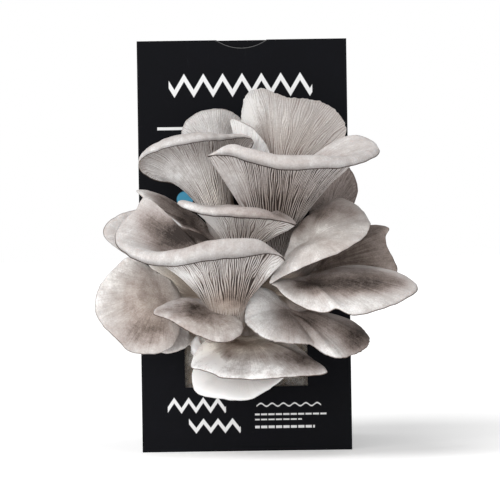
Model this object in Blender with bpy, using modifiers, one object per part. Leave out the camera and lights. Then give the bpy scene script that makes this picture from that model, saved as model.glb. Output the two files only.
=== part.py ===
"""Oyster mushroom grow kit: a windowed carton, a bagged block of substrate and the cluster grown out of it.

The origin is the centre of the carton's base, +Z is up and the windowed front faces -Y. Sizes are in
millimetres here and become metres where a mesh is made.
"""
import math

import bmesh
import bpy
import numpy as np
from mathutils import Matrix, Vector

MM = 0.001

# The carton, outside, and the board it is folded from
WIDTH, DEPTH, HEIGHT = 130.0, 130.0, 255.0
BOARD = 1.6
GAP = 0.3
FRONT = -DEPTH / 2
WINDOW_WIDTH, WINDOW_BOTTOM, WINDOW_TOP = 76.0, 40.0, 140.0
NOTCH_RADIUS, NOTCH_DEPTH = 27.0, 5.0

# The lid folds from the rear wall and its tongue tucks in behind the front wall
LID_UNDERSIDE = HEIGHT - BOARD
WALL_TOP = LID_UNDERSIDE - GAP
TONGUE_STANDBACK, TONGUE_LENGTH, TONGUE_TAPER = 1.3, 15.0, 7.0
DUST_FLAP_LENGTH, DUST_FLAP_TAPER, DUST_FLAP_INSET = 40.0, 9.0, 5.4

# The film bag stands just clear of the carton, and the block fills its lower part
FILM = 0.8
BAG_CLEARANCE = 0.5
BAG_HALF = WIDTH / 2 - BOARD - BAG_CLEARANCE
BAG_BASE = BOARD + GAP
BAG_SHOULDER, BAG_RIDGE, RIDGE_HALF = 196.0, 228.0, 7.0
BAG_EDGE = 6.0
BLOCK_HALF = BAG_HALF - FILM - GAP
BLOCK_BASE, BLOCK_TOP = BAG_BASE + FILM + GAP, 190.0
BLOCK_EDGE = 7.0

# The knot of fused stems that fills the slit in the bag
KNOT_CENTRE = (1.0, 88.0, 10.0)
KNOT_HALF = (17.0, 40.0, 15.0)
KNOT_BACK = -BLOCK_HALF - GAP

# Places on the cluster are (x, z, standoff): where they show on the plane of the carton's front to an
# eye this far before it, and how far they stand out from it
EYE_DISTANCE = 1500.0
EYE_X, EYE_Z = 3.4, 124.6

RIM_STEP = 15.0
COLUMNS_LEAST, COLUMNS_MOST = 11, 24
STEM_RINGS = 2

# Where the rings of a cap lie on its spokes, from the throat towards the rim
SPOKE_STEPS = (0.0, 0.3, 0.6, 0.82, 0.94)

# How even the spokes are round the throat, and the share of the margin's height left at the back of a cap
SPOKE_EVENNESS, LIP_BEHIND = 0.35, 0.2

# The flesh of a cap, how much more of it a steep side may have along the normal, and what is over the throat
FLESH, STEEP_MOST = 3.0, 2.0
HEART_SHARE, HEART_MOST = 0.3, 5.0

# Each mushroom: the rim of its cap in order round it, the throat where the gills leave the stem, the foot
# in the knot, the radii there, how far the throat leans to the cap (lean), how hollow its gill side is
# (flare), how high its margin stands at the front and how wide it is (lip, inset), how dished its top is,
# how brown it is (tone), its creases as (place round the rim, width, depth), the tips where its margin has no
# height (flats) as (place round the rim, width), and the neighbours it yields to
MUSHROOMS = {
    "mushroom_top_right": dict(
        rim=[(-2, 180, 15), (-3, 192, 20), (-1, 207, 26), (3, 221, 33), (11, 225, 36), (22, 221, 37),
             (35, 218, 37), (48, 216.3, 36), (59, 209, 33), (64, 198, 29), (61, 188, 25), (52, 174, 13),
             (37, 162, 8), (20, 156, 5), (6, 164, 8)],
        throat=(22, 168, 22), foot=(8, 118, 10), radii=(6, 9), lean=0.3, flare=0.3, lip=2, inset=0.25,
        dish=0.6, tone=0.15,
        yields_to=("mushroom_top_middle", "mushroom_upper_right", "mushroom_back_right")),
    "mushroom_top_middle": dict(
        rim=[(-6, 196, 30), (-7.5, 206.5, 33), (0, 204, 35), (6, 200.5, 35.5), (11, 195.5, 35),
             (15, 189.5, 33), (17, 183, 30), (14, 171, 24), (4, 159, 19), (-7, 169, 21), (-8, 188, 28)],
        throat=(2, 168, 30), foot=(2, 120, 16), radii=(4, 5), lean=0.3, flare=0.3, lip=1, inset=0.3,
        dish=0.4, tone=0, yields_to=("mushroom_upper_left", "mushroom_upper_right")),
    "mushroom_top_left": dict(
        rim=[(-38, 196, 16), (-36, 204, 20), (-30, 209, 24), (-22, 212, 27), (-12, 212, 26),
             (-5, 209.5, 21), (-1, 205.5, 17), (-3, 195, 13), (-8, 178, 6), (-22, 175, 4), (-35, 184, 9)],
        throat=(-16, 186, 18), foot=(-5, 120, 8), radii=(4, 5), lean=0.3, flare=0.3, lip=1, inset=0.3,
        dish=0.4, tone=0.2, yields_to=()),
    "mushroom_upper_left": dict(
        rim=[(-40, 164, 32), (-46, 166.7, 35), (-53, 168, 40), (-60, 171.2, 46), (-64.8, 176.5, 53),
             (-62.5, 182, 60), (-57, 185.3, 66), (-48, 188.3, 71), (-35, 190.6, 73), (-22, 192.3, 71),
             (-10, 192.9, 60), (0, 194, 50), (6.8, 191, 43), (3, 185, 39), (-3, 173, 29), (-16, 162, 24),
             (-31, 157, 24)],
        throat=(-16, 147, 46), foot=(-6, 114, 14), radii=(7, 8.5), lean=0.3, flare=0.4, lip=16, inset=0.25,
        dish=0.7, tone=0.3, yields_to=()),
    "mushroom_upper_right": dict(
        rim=[(-22, 183.3, 84), (-12, 183.3, 91), (0, 180.2, 96), (12, 176, 99), (25, 173.7, 101),
             (40, 174, 100), (55, 174.2, 95), (68, 175.5, 87), (80, 180.3, 76), (84.5, 184.5, 67),
             (81, 189.5, 57), (71, 193.2, 48), (61, 191, 42), (50, 184, 38), (35, 178, 34), (15, 178, 42),
             (-5, 181, 64), (-17, 183, 76)],
        throat=(18, 131, 52), foot=(9, 110, 18), radii=(8, 11), lean=0.4, flare=0.15, lip=15, inset=0.2,
        dish=0.6, tone=0.35, flats=[(0, 0.03)], yields_to=()),
    "mushroom_back_right": dict(
        rim=[(44, 140, 10), (40, 158, 10), (44, 170, 12), (54, 178, 16), (62, 178, 20), (67, 173, 24),
             (70, 166, 26), (70.5, 159, 26), (68, 152.5, 24), (56, 138, 16)],
        throat=(52, 147, 24), foot=(10, 112, 8), radii=(4, 5), lean=0.3, flare=0.3, lip=1, inset=0.3,
        dish=0.4, tone=0.6, yields_to=("mushroom_upper_right",)),
    "mushroom_middle": dict(
        rim=[(-41.5, 153.5, 78), (-34, 149.3, 87), (-20, 146, 96), (-5, 144.5, 102), (10, 143.7, 101),
             (22, 142, 95), (32.5, 139.8, 85), (28, 144, 76), (15, 147, 71), (7, 149, 63), (-2, 149.5, 57),
             (-10, 150, 58), (-22, 150.5, 62), (-36, 152.8, 71)],
        throat=(-3, 122, 65), foot=(0, 106, 20), radii=(5, 6), lean=0.3, flare=0.15, lip=9, inset=0.2,
        dish=0.6, tone=0.4, flats=[(0.486, 0.08)], yields_to=("mushroom_upper_right",)),
    "mushroom_big_front": dict(
        rim=[(-80, 132, 70), (-74.5, 123.5, 82), (-62, 117, 95), (-47, 115, 106), (-30, 117, 111),
             (-10, 119, 112), (8, 121, 108), (19.5, 121.5, 100), (25.3, 117.5, 93), (18, 117, 89),
             (7, 118, 82), (-5, 120.5, 73), (-15, 123, 66), (-28, 131.5, 66), (-43, 139.5, 62),
             (-51, 146, 62), (-57.5, 153, 62), (-62.3, 157.3, 61), (-66, 152.5, 60), (-71, 147, 59),
             (-77, 141, 61)],
        throat=(-12, 89, 70), foot=(-8, 80, 20), radii=(8, 11), lean=0.4, flare=0.15, lip=17, inset=0.2,
        dish=0.75, tone=0.25, flats=[(0.488, 0.06)], yields_to=()),
    "mushroom_left_blade": dict(
        rim=[(-66.3, 162.5, 46), (-63, 158.5, 49), (-60, 154.5, 51), (-56, 149.8, 52), (-50, 144.5, 52),
             (-42, 139.3, 51), (-31, 133, 50), (-20, 126.5, 48), (-15.5, 126, 44), (-19, 132, 38),
             (-29, 143, 34), (-39, 151.5, 34), (-48, 157.5, 35), (-56, 161, 38), (-62, 162.6, 42)],
        throat=(-36, 130, 34), foot=(-8, 108, 12), radii=(4, 5), lean=0.4, flare=0.2, lip=1, inset=0.3,
        dish=0.5, tone=0.9, yields_to=("mushroom_upper_left",)),
    "mushroom_far_left": dict(
        rim=[(-60, 152, 36), (-66, 151, 38), (-73, 149.3, 40), (-80, 146.3, 42), (-86, 141.5, 43),
             (-87.5, 137, 43), (-85.5, 132.5, 42), (-78, 126, 40), (-68, 120, 38), (-58, 119, 32),
             (-48, 124, 26), (-46, 136, 22), (-52, 147, 28)],
        throat=(-59, 128, 22), foot=(-13, 89, 9), radii=(10.5, 7.6), lean=0.6, flare=0.3, lip=2, inset=0.3,
        dish=0.1, tone=0.3, yields_to=("mushroom_left_disc",)),
    "mushroom_left_disc": dict(
        rim=[(-71, 121.5, 48), (-79, 116.5, 52), (-87, 108, 57), (-92, 99, 60), (-93.3, 90, 62),
             (-89.5, 80.5, 64), (-81, 71, 66), (-73, 63.5, 67), (-62, 60.8, 68), (-51, 62.3, 67),
             (-44, 68, 63), (-40.5, 78, 57), (-40, 90, 50), (-42, 101.5, 44), (-53, 109.5, 44),
             (-62, 116.5, 45)],
        throat=(-56, 94, 38), foot=(-13, 85.5, 9), radii=(7, 10), lean=0.4, flare=0.3, lip=2, inset=0.3,
        dish=0, tone=0.35, yields_to=()),
    "mushroom_left_pointed": dict(
        rim=[(-57.3, 86, 86), (-50, 82.8, 92), (-42, 78.7, 96), (-35, 74, 98), (-27, 70.5, 98),
             (-18, 67.6, 97), (-8, 68.5, 93), (-2.5, 73, 86), (-2, 78, 79), (-8, 84, 72), (-20, 90, 68),
             (-33, 94.5, 70), (-46, 93.5, 76)],
        throat=(-25, 75, 70), foot=(-8, 73, 18), radii=(4, 5), lean=0.4, flare=0.3, lip=2, inset=0.3,
        dish=0.1, tone=0.6, yields_to=("mushroom_big_front", "mushroom_low_front")),
    "mushroom_left_low": dict(
        rim=[(-54, 62.5, 46), (-47, 61.3, 48), (-40, 63.3, 47), (-36, 66, 44), (-35, 71, 40), (-37, 79, 37),
             (-44, 83, 36), (-52, 78, 38), (-56, 69, 42)],
        throat=(-43, 70, 28), foot=(-12, 74, 8), radii=(4, 4), lean=0.4, flare=0.3, lip=1, inset=0.3,
        dish=0.1, tone=0.4, yields_to=()),
    "mushroom_low_back": dict(
        rim=[(-34, 66, 46), (-32.5, 61, 48), (-28, 59, 47), (-24, 62, 43), (-23, 68, 38), (-26, 72, 37),
             (-31, 71.5, 41)],
        throat=(-31, 62, 36), foot=(-10, 66, 10), radii=(3, 3.5), lean=0.4, flare=0.3, lip=1, inset=0.3,
        dish=0.1, tone=0.1, yields_to=()),
    "mushroom_right_saddle": dict(
        rim=[(15.5, 103.7, 84), (22, 106.3, 88), (30, 110, 92), (40, 114.7, 94), (50, 118.4, 94),
             (60, 122, 91), (68, 126.5, 86), (74, 131, 79), (78, 136.5, 71), (77.5, 141.5, 63),
             (73.5, 148, 54), (67, 153.6, 46), (60, 155.5, 42), (51, 152.3, 42), (43.5, 147.5, 50),
             (37, 142.3, 58), (32, 136, 66), (29, 130, 71), (25.5, 121, 77), (20, 112, 81)],
        throat=(42, 120, 66), foot=(13, 101, 15), radii=(5, 6), lean=0.4, flare=0.3, lip=2, inset=0.3,
        dish=0.4, tone=0.5, yields_to=("mushroom_upper_right",)),
    "mushroom_right_back": dict(
        rim=[(94.5, 110, 46), (93, 116, 44), (90.5, 121, 42), (88.3, 127, 40), (88, 132.5, 38),
             (90, 136.3, 37), (87, 138.3, 35), (79, 139, 32), (66, 136, 27), (50, 127, 24), (36, 114, 26),
             (27, 108, 30), (22, 104.5, 36), (28, 101, 39), (42, 99, 42), (58, 98, 44), (76, 101, 45),
             (88, 105.5, 47)],
        throat=(47, 105, 25), foot=(14, 98, 7), radii=(4, 4), lean=0.4, flare=0.3, lip=1, inset=0.3,
        dish=0.3, tone=1, yields_to=("mushroom_right_saddle",)),
    "mushroom_right_long": dict(
        rim=[(15, 103.5, 80), (20, 100, 84), (24, 95.5, 88), (30, 91.2, 92), (38, 87.3, 97),
             (46, 85.2, 100), (52, 85.6, 102), (56, 86.8, 102), (62, 84, 102), (70, 83.2, 100),
             (82, 86, 95), (93, 89.5, 88), (102, 94, 80), (107.3, 98.5, 74), (105, 103.3, 68),
             (97, 108, 62), (86, 111.3, 57), (73, 113, 53), (60, 112.3, 51), (47, 108.3, 52),
             (34, 105.5, 58), (24, 104.8, 68)],
        throat=(38, 93, 66), foot=(12, 92, 16), radii=(5, 6), lean=0.4, flare=0.3, lip=2, inset=0.3,
        dish=0.3, tone=0.6, yields_to=("mushroom_right_low", "mushroom_right_saddle")),
    "mushroom_right_low": dict(
        rim=[(-0.5, 82, 72), (0.5, 78, 75), (4, 75, 78), (9, 70.7, 81), (15, 68, 82), (24, 66.7, 82),
             (33, 65.8, 80), (39, 65, 76), (42.5, 63.5, 73), (46, 60.8, 74), (52, 57.8, 77),
             (59.5, 56.8, 77), (66.5, 58.6, 74), (72.5, 61.5, 70), (76.5, 66, 65), (76, 70, 59),
             (71, 76, 54), (62, 80.5, 49), (52, 82, 45), (40, 84, 42), (28, 87, 44), (17, 97, 54),
             (11, 100, 58), (5, 99.5, 62), (0.5, 92, 68)],
        throat=(22, 77, 52), foot=(8, 82, 14), radii=(5, 6), lean=0.4, flare=0.3, lip=2, inset=0.3,
        dish=0.05, tone=0.4, creases=[(0.36, 0.03, 5)], yields_to=()),
    "mushroom_low_front": dict(
        rim=[(-34.5, 53, 62), (-31, 50.8, 68), (-22, 48.3, 74), (-17, 46.3, 77), (-5, 44.5, 81),
             (8, 44, 82), (20, 44.6, 81), (30, 45.5, 78), (42, 46, 72), (50.3, 47.7, 66), (45, 53, 56),
             (38, 59, 48), (30, 65, 42), (20, 68, 38), (5, 70, 37), (-10, 70.5, 40), (-22, 69.5, 48),
             (-29, 65, 56), (-33, 58, 60)],
        throat=(0, 56, 41), foot=(0, 66, 10), radii=(5, 6), lean=0.4, flare=0.3, lip=2, inset=0.3, dish=0.1,
        tone=0.3, yields_to=("mushroom_lowest",)),
    "mushroom_lowest": dict(
        rim=[(-33, 50.5, 50), (-33.8, 43, 54), (-31, 36.8, 58), (-25, 34, 62), (-15, 32.3, 65),
             (-4, 31.3, 66), (5, 33, 65), (11.5, 36.5, 62), (17.5, 40.5, 58), (24, 46, 50), (22, 50, 38),
             (4, 51, 30), (-16, 51, 32), (-28, 52, 42)],
        throat=(-4, 42, 34), foot=(-2, 58, 8), radii=(4, 5), lean=0.4, flare=0.3, lip=2, inset=0.3,
        dish=0.15, tone=0.05, yields_to=()),
}

PALE_FLESH, BROWN_FLESH = (0.66, 0.62, 0.57), (0.30, 0.26, 0.23)


def clear_scene():
    for obj in list(bpy.data.objects):
        bpy.data.objects.remove(obj, do_unlink=True)


def new_collection(name):
    collection = bpy.data.collections.new(name)
    bpy.context.scene.collection.children.link(collection)
    return collection


def new_material(name, colour, roughness, metallic=0.0):
    material = bpy.data.materials.new(name)
    material.use_nodes = True
    shader = material.node_tree.nodes["Principled BSDF"]
    shader.inputs["Base Color"].default_value = (*colour, 1.0)
    shader.inputs["Roughness"].default_value = roughness
    shader.inputs["Metallic"].default_value = metallic
    material.diffuse_color = (*colour, 1.0)
    return material


def add_object(name, mesh, collection, material=None):
    obj = bpy.data.objects.new(name, mesh)
    collection.objects.link(obj)
    if material:
        mesh.materials.append(material)
    return obj


def mesh_from(name, shape):
    """A mesh from a bmesh in millimetres."""
    bmesh.ops.scale(shape, vec=(MM, MM, MM), verts=shape.verts)
    mesh = bpy.data.meshes.new(name)
    shape.to_mesh(mesh)
    shape.free()
    return mesh


def box_shape(low, high):
    shape = bmesh.new()
    bmesh.ops.create_cube(shape, size=1.0)
    size = [b - a for a, b in zip(low, high)]
    bmesh.ops.scale(shape, vec=size, verts=shape.verts)
    centre = [(a + b) / 2 for a, b in zip(low, high)]
    bmesh.ops.translate(shape, vec=centre, verts=shape.verts)
    return shape


def add_cutter(name, mesh, cutters):
    """A helper that other pieces are cut by: drawn as wire and never rendered."""
    obj = add_object(name, mesh, cutters)
    obj.hide_render = True
    obj.display_type = "WIRE"
    return obj


def cut(obj, cutter):
    boolean = obj.modifiers.new("cut_by_" + cutter.name, "BOOLEAN")
    boolean.operation = "DIFFERENCE"
    boolean.solver = "EXACT"
    boolean.object = cutter


def thicken(obj, thickness, offset):
    solidify = obj.modifiers.new("board", "SOLIDIFY")
    solidify.thickness = thickness * MM
    solidify.offset = offset
    solidify.use_even_offset = True


def round_edges(obj, radius, segments):
    bevel = obj.modifiers.new("edges", "BEVEL")
    bevel.width = radius * MM
    bevel.segments = segments


def add_carton(parts, cutters):
    """An open-topped box of board, with the window and the thumb notch cut from its front wall."""
    shape = box_shape((-WIDTH / 2, FRONT, 0), (WIDTH / 2, -FRONT, HEIGHT))
    top = [face for face in shape.faces if face.normal.z > 0.9]
    bmesh.ops.delete(shape, geom=top, context="FACES_ONLY")
    carton = add_object("carton", mesh_from("carton", shape), parts,
                        new_material("carton_print", (0.012, 0.013, 0.018), 0.42))
    thicken(carton, BOARD, -1.0)
    beyond = 10.0
    behind_front = FRONT + BOARD
    lid_room = box_shape((-WIDTH / 2 - beyond, behind_front, WALL_TOP),
                         (WIDTH / 2 + beyond, -FRONT + beyond, HEIGHT + beyond))
    cut(carton, add_cutter("lid_room", mesh_from("lid_room", lid_room), cutters))
    window = box_shape((-WINDOW_WIDTH / 2, FRONT - beyond, WINDOW_BOTTOM),
                       (WINDOW_WIDTH / 2, behind_front + beyond, WINDOW_TOP))
    cut(carton, add_cutter("window", mesh_from("window", window), cutters))
    notch = bmesh.new()
    bmesh.ops.create_cone(notch, cap_ends=True, segments=48, radius1=NOTCH_RADIUS, radius2=NOTCH_RADIUS,
                          depth=2 * beyond)
    upright = Matrix.Rotation(math.radians(90), 3, "X")
    bmesh.ops.rotate(notch, cent=(0, 0, 0), verts=notch.verts, matrix=upright)
    bmesh.ops.translate(notch, vec=(0, FRONT, HEIGHT + NOTCH_RADIUS - NOTCH_DEPTH), verts=notch.verts)
    cut(carton, add_cutter("thumb_notch", mesh_from("thumb_notch", notch), cutters))
    return carton


def add_union(obj, mesh, cutters):
    """Joins a second mesh into an object, so that the two make one body."""
    boolean = obj.modifiers.new("join_" + mesh.name, "BOOLEAN")
    boolean.operation = "UNION"
    boolean.solver = "EXACT"
    boolean.object = add_cutter(mesh.name, mesh, cutters)
    boolean.object.location = obj.location


def add_lid(parts, cutters):
    """The top panel with its tongue, one folded board whose origin is on the fold at the rear wall."""
    half, tongue_half = WIDTH / 2, WIDTH / 2 - BOARD - 1
    tongue_front = FRONT + BOARD + TONGUE_STANDBACK + FRONT
    fold = BOARD / 2
    panel = box_shape((-half, tongue_front + fold, 0), (half, 0, BOARD))
    lid = add_object("lid", mesh_from("lid", panel), parts,
                     new_material("lid_print", (0.012, 0.013, 0.018), 0.42))
    lid.location = (0, -FRONT * MM, LID_UNDERSIDE * MM)
    tongue = box_shape((-tongue_half, tongue_front, -TONGUE_LENGTH),
                       (tongue_half, tongue_front + BOARD, BOARD - fold / 2))
    for vert in tongue.verts:
        if vert.co.z < 0:
            vert.co.x *= 1 - TONGUE_TAPER / tongue_half
    add_union(lid, mesh_from("tongue", tongue), cutters)


def add_dust_flap(name, side, parts):
    """A flap folded in from a side wall under the lid, narrower at its free edge."""
    root, free = WIDTH / 2 - BOARD - GAP, WIDTH / 2 - BOARD - GAP - DUST_FLAP_LENGTH
    half = DEPTH / 2 - BOARD - DUST_FLAP_INSET
    low_x, high_x = sorted((side * root, side * free))
    flap = box_shape((low_x, -half, WALL_TOP - GAP - BOARD), (high_x, half, WALL_TOP - GAP))
    for vert in flap.verts:
        if abs(vert.co.x) < (root + free) / 2:
            vert.co.y *= 1 - DUST_FLAP_TAPER / half
    add_object(name, mesh_from(name, flap), parts,
               new_material(name + "_board", (0.30, 0.25, 0.20), 0.8))


def knot_shape(growth):
    """The fused stems as an egg that stands through the slit, larger all round by growth."""
    shape = bmesh.new()
    bmesh.ops.create_uvsphere(shape, u_segments=20, v_segments=12, radius=1.0)
    half_x, half_z, half_out = [half + growth for half in KNOT_HALF]
    bmesh.ops.scale(shape, vec=(half_x, half_out, half_z), verts=shape.verts)
    x, z, standoff = KNOT_CENTRE
    bmesh.ops.translate(shape, vec=(x, FRONT - standoff, z), verts=shape.verts)
    return shape


def add_cluster_base(parts):
    """The knot, cut off flat just before the face of the block."""
    shape = knot_shape(0.0)
    whole = shape.verts[:] + shape.edges[:] + shape.faces[:]
    bmesh.ops.bisect_plane(shape, geom=whole, plane_co=(0, KNOT_BACK, 0), plane_no=(0, 1, 0),
                           clear_outer=True)
    bmesh.ops.holes_fill(shape, edges=shape.edges)
    knot = add_object("cluster_base", mesh_from("cluster_base", shape), parts,
                      new_material("knot_flesh", (0.42, 0.37, 0.30), 0.7))
    knot.data.shade_smooth()
    knot.data.set_sharp_from_angle(angle=math.radians(60))


def add_substrate_block(parts):
    shape = box_shape((-BLOCK_HALF, -BLOCK_HALF, BLOCK_BASE), (BLOCK_HALF, BLOCK_HALF, BLOCK_TOP))
    block = add_object("substrate_block", mesh_from("substrate_block", shape), parts,
                       new_material("substrate", (0.24, 0.19, 0.14), 0.9))
    round_edges(block, BLOCK_EDGE, 2)


def add_grow_bag(parts, slit):
    """A film skin round the block, drawn together above it to a folded ridge and slit at the front."""
    shape = box_shape((-BAG_HALF, -BAG_HALF, BAG_BASE), (BAG_HALF, BAG_HALF, BAG_SHOULDER))
    top = [face for face in shape.faces if face.normal.z > 0.9]
    ridge = bmesh.ops.extrude_face_region(shape, geom=top)["geom"]
    bmesh.ops.delete(shape, geom=top, context="FACES_ONLY")
    ridge_verts = [item for item in ridge if isinstance(item, bmesh.types.BMVert)]
    for vert in ridge_verts:
        vert.co.z = BAG_RIDGE
        vert.co.y *= RIDGE_HALF / BAG_HALF
    bag = add_object("grow_bag", mesh_from("grow_bag", shape), parts,
                     new_material("film", (0.36, 0.33, 0.29), 0.25))
    round_edges(bag, BAG_EDGE, 2)
    thicken(bag, FILM, -1.0)
    cut(bag, slit)


def sighted(place):
    """The point that shows at (x, z) on the plane of the front and stands out by standoff."""
    x, z, standoff = place
    nearer = 1 - standoff / EYE_DISTANCE
    return np.array((EYE_X + (x - EYE_X) * nearer, FRONT - standoff, EYE_Z + (z - EYE_Z) * nearer))


def unit(vector):
    return vector / np.linalg.norm(vector)


def closed_curve(points, count):
    """A smooth closed curve through the points, as count points at even steps along it.

    Between two points it is a cubic whose second derivative runs evenly from one to the other, and the
    second derivatives are the ones that leave no corner anywhere.
    """
    points = np.array(points)
    after = np.roll(points, -1, axis=0)
    before = np.roll(points, 1, axis=0)
    step = np.linalg.norm(after - points, axis=1)
    step_before = np.roll(step, 1)
    bend = np.diag(2 * (step + step_before))
    for i in range(len(points)):
        bend[i, i - 1] += step_before[i]
        bend[i, (i + 1) % len(points)] += step[i]
    slopes = (after - points) / step[:, None] - (points - before) / step_before[:, None]
    second = np.linalg.solve(bend, 6 * slopes)
    along = np.linspace(0, 1, 32, endpoint=False)[None, :, None]
    there, span = 1 - along, step[:, None, None]
    start, end = points[:, None], after[:, None]
    second_end = np.roll(second, -1, axis=0)[:, None]
    sag = (there**3 - there) * second[:, None] + (along**3 - along) * second_end
    line = (there * start + along * end + sag * span**2 / 6).reshape(-1, 3)
    line = np.vstack((line, line[:1]))
    length = np.concatenate(([0], np.cumsum(np.linalg.norm(np.diff(line, axis=0), axis=1))))
    even = np.linspace(0, length[-1], count, endpoint=False)
    return np.stack([np.interp(even, length, line[:, axis]) for axis in range(3)], axis=1)


def tipped(directions, normal, tangent):
    """Directions across a normal, turned with it as it tips to a tangent."""
    return directions @ np.array(Vector(normal).rotation_difference(Vector(tangent)).to_matrix()).T


def margin_lift(t, inset):
    """How much of its height a margin has at t: a quarter ellipse over the margin, half a cosine within."""
    inward = 1 - t
    if inward < inset:
        return math.sqrt(1 - (1 - inward / inset)**2)
    return 0.5 + 0.5 * math.cos(math.pi * (inward - inset) / (1 - inset))


def bell(columns, place, width):
    """1 at a place round the rim, given as a share of its length, falling off to either side of it."""
    off = (np.arange(columns) / columns - place + 0.5) % 1 - 0.5
    return np.exp(-(off / width)**2)


def mushroom_rings(form, columns):
    """Rings of points up the stem, out along the gill side, round the rim and in over the cap.

    The stem follows a cubic Bezier curve. Each spoke of the gill side is a quadratic one from the throat
    to the rim, raised along the cap's normal near the rim, and the upper side lies over it along that
    normal, so that the two never meet.
    """
    rim = closed_curve([sighted(place) for place in form["rim"]], columns)
    throat, foot = sighted(form["throat"]), sighted(form["foot"])
    normal = unit(np.cross(rim, np.roll(rim, -1, axis=0)).sum(axis=0))
    centre = rim.mean(axis=0)
    rising = unit(throat - foot)
    arriving = unit((1 - form["lean"]) * rising + form["lean"] * normal)
    across = unit(np.cross(normal, (0, 0, 1) if abs(normal[2]) < 0.9 else (1, 0, 0)))
    beside = np.cross(normal, across)
    spokes = rim - throat
    bearing = np.unwrap(np.arctan2(spokes @ beside, spokes @ across))
    even = np.arange(columns) * 2 * math.pi / columns
    even += (bearing - even).mean()
    angles = SPOKE_EVENNESS * even + (1 - SPOKE_EVENNESS) * bearing
    fan = np.cos(angles)[:, None] * across + np.sin(angles)[:, None] * beside
    foot_radius, throat_radius = form["radii"]
    pull = 0.35 * np.linalg.norm(throat - foot)
    knee, neck = foot + rising * pull, throat - arriving * pull
    rings = []
    for t in np.arange(STEM_RINGS) / STEM_RINGS:
        spot = (1 - t)**3 * foot + 3 * t * (1 - t)**2 * knee + 3 * t**2 * (1 - t) * neck + t**3 * throat
        tangent = unit((1 - t)**2 * (knee - foot) + 2 * t * (1 - t) * (neck - knee) + t**2 * (throat - neck))
        radius = foot_radius + (throat_radius - foot_radius) * t
        rings.append(spot + radius * tipped(fan, normal, tangent))
    collar = throat + throat_radius * tipped(fan, normal, arriving)
    reach = np.linalg.norm(rim - collar, axis=1)
    hollow = collar + (form["flare"] * reach)[:, None] * normal
    nearness = (rim[:, 1].max() - rim[:, 1]) / np.ptp(rim[:, 1])
    lips = form["lip"] * (LIP_BEHIND + (1 - LIP_BEHIND) * nearness**1.5)
    for place, width in form.get("flats", ()):
        lips *= 1 - bell(columns, place, width)
    dips = np.zeros(columns)
    for place, width, depth in form.get("creases", ()):
        dips += depth * bell(columns, place, width)
    gill_side = []
    for t in SPOKE_STEPS:
        height = lips * margin_lift(t, form["inset"]) * math.sqrt(t) - dips * 1.5 * t * (1 - t / 2)
        spoke = (1 - t)**2 * collar + 2 * t * (1 - t) * hollow + t**2 * rim
        gill_side.append(spoke + height[:, None] * normal)
    rings += gill_side + [rim]
    collar_level, rim_level = collar @ normal, rim @ normal
    heart_level = throat @ normal + (centre - throat) @ normal
    lift = collar_level.max() - collar_level + min(HEART_SHARE * (centre - throat) @ normal, HEART_MOST)
    for t, ring in reversed(list(zip(SPOKE_STEPS, gill_side))):
        along = (1 - t) * (hollow - collar) + t * (rim - hollow)
        climb = along @ normal
        level_run = np.linalg.norm(along - climb[:, None] * normal, axis=1)
        steep = np.minimum(np.hypot(climb, level_run) / level_run, STEEP_MOST)
        flesh = FLESH * math.sqrt(1 - t**8)
        over = lift * (1 - t * t)**2 + flesh * (1 + (steep - 1) * min((t / 0.4)**2, 1))
        flat = (1 - t * t) * heart_level + t * t * rim_level + flesh - dips * 1.5 * t * (1 - t / 2)
        room = np.maximum(flat - ring @ normal - over, 0) * (1 - form["dish"])
        rings.append(ring + (over + room)[:, None] * normal)
    return np.array(rings), foot, rings[-1].mean(axis=0)


def loft(name, rings, first, last):
    """A closed mesh over rings of equal count, with a fan to a point at either end."""
    count, columns, _ = rings.shape
    points = np.concatenate((rings.reshape(-1, 3), (first, last))) * MM
    index = np.arange(count * columns).reshape(count, columns)
    following = np.roll(index, -1, axis=1)
    faces = np.stack((index[:-1], following[:-1], following[1:], index[1:]), axis=-1).reshape(-1, 4).tolist()
    start, end = count * columns, count * columns + 1
    faces += [(b, a, start) for a, b in zip(index[0].tolist(), following[0].tolist())]
    faces += [(a, b, end) for a, b in zip(index[-1].tolist(), following[-1].tolist())]
    mesh = bpy.data.meshes.new(name)
    mesh.from_pydata(points.tolist(), [], faces)
    mesh.shade_smooth()
    mesh.set_sharp_from_angle(angle=math.radians(50))
    return mesh


def mushroom_mesh(name):
    form = MUSHROOMS[name]
    outline = closed_curve([sighted(place) for place in form["rim"]], 64)
    length = np.linalg.norm(np.roll(outline, -1, axis=0) - outline, axis=1).sum()
    columns = int(min(max(round(length / RIM_STEP), COLUMNS_LEAST), COLUMNS_MOST))
    return loft(name, *mushroom_rings(form, columns))


def add_grown_cutter(name, mesh, cutters):
    """A cutter larger than its mesh by a little more than the gap between two pieces."""
    cutter = add_cutter(name, mesh, cutters)
    grow = cutter.modifiers.new("gap", "DISPLACE")
    grow.mid_level = 0.0
    grow.strength = GAP * 1.2 * MM
    return cutter


def add_mushrooms(parts, cutters, knot_cutter):
    """Each mushroom is one solid of stem and cap, cut clear of the knot and of what it yields to."""
    grown = {}
    for name, form in MUSHROOMS.items():
        for neighbour in form["yields_to"]:
            if neighbour not in grown:
                grown[neighbour] = add_grown_cutter(neighbour + "_room", mushroom_mesh(neighbour), cutters)
    for name, form in MUSHROOMS.items():
        tone = form["tone"]
        flesh = [pale + (brown - pale) * tone for pale, brown in zip(PALE_FLESH, BROWN_FLESH)]
        mushroom = add_object(name, mushroom_mesh(name), parts, new_material(name + "_flesh", flesh, 0.65))
        cut(mushroom, knot_cutter)
        for neighbour in form["yields_to"]:
            cut(mushroom, grown[neighbour])


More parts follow.
